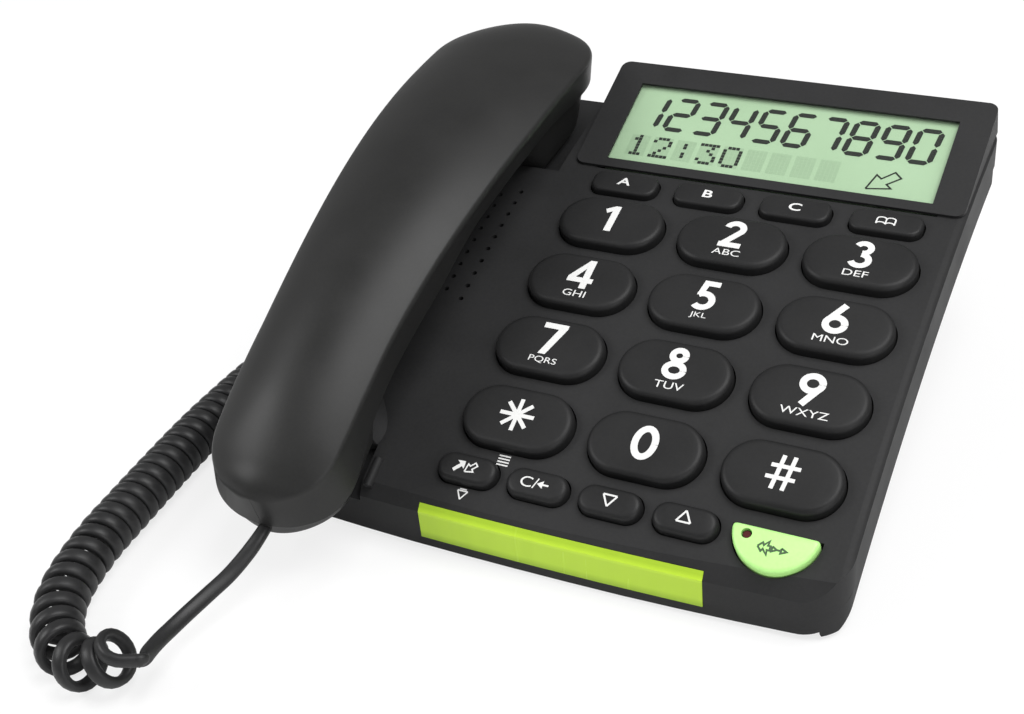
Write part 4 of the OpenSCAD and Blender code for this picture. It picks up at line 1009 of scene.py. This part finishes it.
# %% Display window and figures
BEZEL_Y, BEZEL_Z, BEZEL_TILT = 51.4, 56.15, math.radians(18.9)
WINDOW_W, WINDOW_D, WINDOW_FRONT = 99.8, 32.7, 3.4
GLASS_TOP, GLASS_T, GLASS_EDGE = -0.8, 0.5, 0.9
PANEL_TOP, SEGMENT_LIFT, FAINT_LIFT = -1.8, 0.05, 0.03


def on_display(points):
    """Points (right, up the slope, out of the face) from the middle of the window's front edge."""
    points = np.asarray(points, float)
    c, s = math.cos(BEZEL_TILT), math.sin(BEZEL_TILT)
    up = points[..., 1] + WINDOW_FRONT
    return np.stack([KEYPAD_X + points[..., 0], BEZEL_Y + up * c - points[..., 2] * s,
                     BEZEL_Z + up * s + points[..., 2] * c], axis=-1)


def flat_pieces(name, shapes, level, finish):
    """Many small flat polygons as one mesh in the display's plane."""
    points, faces = [], []
    for shape in shapes:
        faces.append(list(range(len(points), len(points) + len(shape))))
        points += [(x, y, level) for x, y in shape]
    piece = add_mesh(name, on_display(points), faces, finish)
    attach(piece, "base")


pane_ring = round_outline(WINDOW_W / 2 + GLASS_EDGE, WINDOW_D / 2 + GLASS_EDGE, 0.8, 5)
pane_rings = np.array([
    np.column_stack([pane_ring + [0, WINDOW_D / 2], np.full(len(pane_ring), z)])
    for z in (GLASS_TOP - GLASS_T, GLASS_TOP)
])
pane = rings_solid("window_pane", on_display(pane_rings), PANE)
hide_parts("lcd_window")
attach(pane, "base")

SEGMENTS = {"0": "abcdef", "1": "bc", "2": "abged", "3": "abgcd", "4": "fgbc", "5": "afgcd",
            "6": "afgedc", "7": "abc", "8": "abcdefg", "9": "abcdfg"}
SEG_W, SEG_H, SEG_T = 6.3, 12.8, 1.75
SEG_LEAN, SEG_GAP = 0.10, 0.18


def segment_bar(a, b, t):
    """Six-cornered bar between two points, with pointed ends, a little shorter than the way."""
    a, b = np.array(a, float), np.array(b, float)
    along = unit(b - a)
    side = np.array([-along[1], along[0]]) * t / 2
    a, b = a + along * SEG_GAP, b - along * SEG_GAP
    tip = along * t / 2
    return [a, a + tip - side, b - tip - side, b, b - tip + side, a + tip + side]


def seven_segment(figure, cx, cy):
    """The lit bars of one figure, leaning to the right."""
    w, h = SEG_W / 2, SEG_H / 2
    ends = {"a": ((-w, h), (w, h)), "g": ((-w, 0), (w, 0)), "d": ((-w, -h), (w, -h)),
            "f": ((-w, 0), (-w, h)), "b": ((w, 0), (w, h)),
            "e": ((-w, -h), (-w, 0)), "c": ((w, -h), (w, 0))}
    bars = [segment_bar(*ends[bar], SEG_T) for bar in SEGMENTS[figure]]
    return [[(cx + x + SEG_LEAN * y, cy + y) for x, y in bar] for bar in bars]


UPPER_ROW, LOWER_ROW = "1234567890", "12:30"
ROW_X, ROW_Y, ROW_STEP = -43.0, 22.7, 9.45
upper_shapes = []
for i, figure in enumerate(UPPER_ROW):
    upper_shapes += seven_segment(figure, ROW_X + i * ROW_STEP, ROW_Y)
flat_pieces("display_figures", upper_shapes, PANEL_TOP + SEGMENT_LIFT, SEGMENT)

DOT_ROWS = {
    "0": (14, 17, 17, 17, 17, 17, 14), "1": (4, 12, 4, 4, 4, 4, 14), "2": (14, 17, 1, 2, 4, 8, 31),
    "3": (31, 2, 4, 2, 1, 17, 14), ":": (0, 4, 4, 0, 4, 4, 0),
}
DOT, DOT_STEP_X, DOT_STEP_Y = 1.12, 1.24, 1.22
SIGN_X, SIGN_Y, SIGN_STEP, SIGN_PLACES = -46.0, 11.4, 7.5, 9
dots, faint = [], []
for place in range(SIGN_PLACES):
    sign = LOWER_ROW[place] if place < len(LOWER_ROW) else None
    for row in range(7):
        for col in range(5):
            lit = sign is not None and DOT_ROWS[sign][row] >> (4 - col) & 1
            x0 = SIGN_X + place * SIGN_STEP + col * DOT_STEP_X
            y0 = SIGN_Y - row * DOT_STEP_Y
            square = [(x0, y0), (x0 + DOT, y0), (x0 + DOT, y0 + DOT), (x0, y0 + DOT)]
            (dots if lit else faint).append(square)
flat_pieces("display_dots", dots, PANEL_TOP + SEGMENT_LIFT, SEGMENT)
down_arrow = line((29.5, 3.6), (31.4, 9.4), (33.0, 8.1), (36.4, 11.2), (38.6, 9.2), (35.0, 6.2),
                  (36.6, 4.8), (29.5, 3.6))
left, right = stroke(down_arrow, OUTLINE_PEN)
arrow_bars = np.stack([right[:-1], right[1:], left[1:], left[:-1]], axis=1)
flat_pieces("display_arrow", arrow_bars, PANEL_TOP + SEGMENT_LIFT, SEGMENT)
flat_pieces("display_faint_dots", faint, PANEL_TOP + FAINT_LIFT, FAINT_DOT)
print("display bars:", len(upper_shapes), "dots:", len(dots), "faint dots:", len(faint))

# %% [markdown]
# A plain pale floor and a soft studio: one broad lamp from the front left, which draws the long
# soft light on the handset, one above, and a weak one from the front right.

# %% Floor, world and lamps
FLOOR_GREY = 0.86
FLOOR_HALF = 3000
FLOOR_WHITE_SHARE = 0.75
SKY_LIGHT, SKY_SEEN_MORE = 0.32, 0.68


def backdrop_material():
    """White floor: most of what the camera sees is plain white, so only the soft shadow stays."""
    material, shader, w = new_finish("white_floor", Roughness=0.9)
    shader.inputs["Base Color"].default_value = (FLOOR_GREY, FLOOR_GREY, FLOOR_GREY, 1)
    tree = material.node_tree
    bright = w.node("ShaderNodeEmission", {"Color": (1, 1, 1, 1), "Strength": 1.0})
    path = w.node("ShaderNodeLightPath", out="Is Camera Ray")
    share = path * FLOOR_WHITE_SHARE
    mixed = w.node("ShaderNodeMixShader", {0: share, 1: Wire(tree, shader.outputs[0]), 2: bright})
    tree.links.new(mixed.socket, tree.nodes["Material Output"].inputs["Surface"])
    return material


floor_corners = [(x * FLOOR_HALF, y * FLOOR_HALF, 0) for x, y in ((-1, -1), (1, -1), (1, 1), (-1, 1))]
floor = add_mesh("floor", floor_corners, [[0, 1, 2, 3]], backdrop_material())

world = bpy.data.worlds.new("studio")
bpy.context.scene.world = world
world.use_nodes = True
tree = world.node_tree
sky = Wire(tree)
seen = sky.node("ShaderNodeLightPath", out="Is Camera Ray")
tree.nodes["Background"].inputs["Color"].default_value = (1, 1, 1, 1)
strength = seen * SKY_SEEN_MORE + SKY_LIGHT
tree.links.new(strength.socket, tree.nodes["Background"].inputs["Strength"])


def softbox(name, place, target, size, watts):
    """Area lamp of a width and a height that faces a point."""
    lamp = bpy.data.lights.new(name, "AREA")
    lamp.shape = "RECTANGLE"
    lamp.size, lamp.size_y = size
    lamp.energy = watts
    holder = bpy.data.objects.new(name, lamp)
    holder.location = place
    holder.rotation_euler = (Vector(place) - Vector(target)).to_track_quat("Z", "Y").to_euler()
    bpy.context.scene.collection.objects.link(holder)


softbox("lamp_left", (-0.85, -0.42, 0.80), (-0.05, -0.05, 0.04), (0.6, 0.5), 7)
softbox("lamp_top", (0.42, 0.10, 1.15), (0, 0, 0.03), (0.8, 0.8), 14)
softbox("lamp_right", (0.95, -0.75, 0.55), (0, 0, 0.03), (0.6, 0.6), 4)

bpy.context.scene.view_settings.view_transform = "Standard"
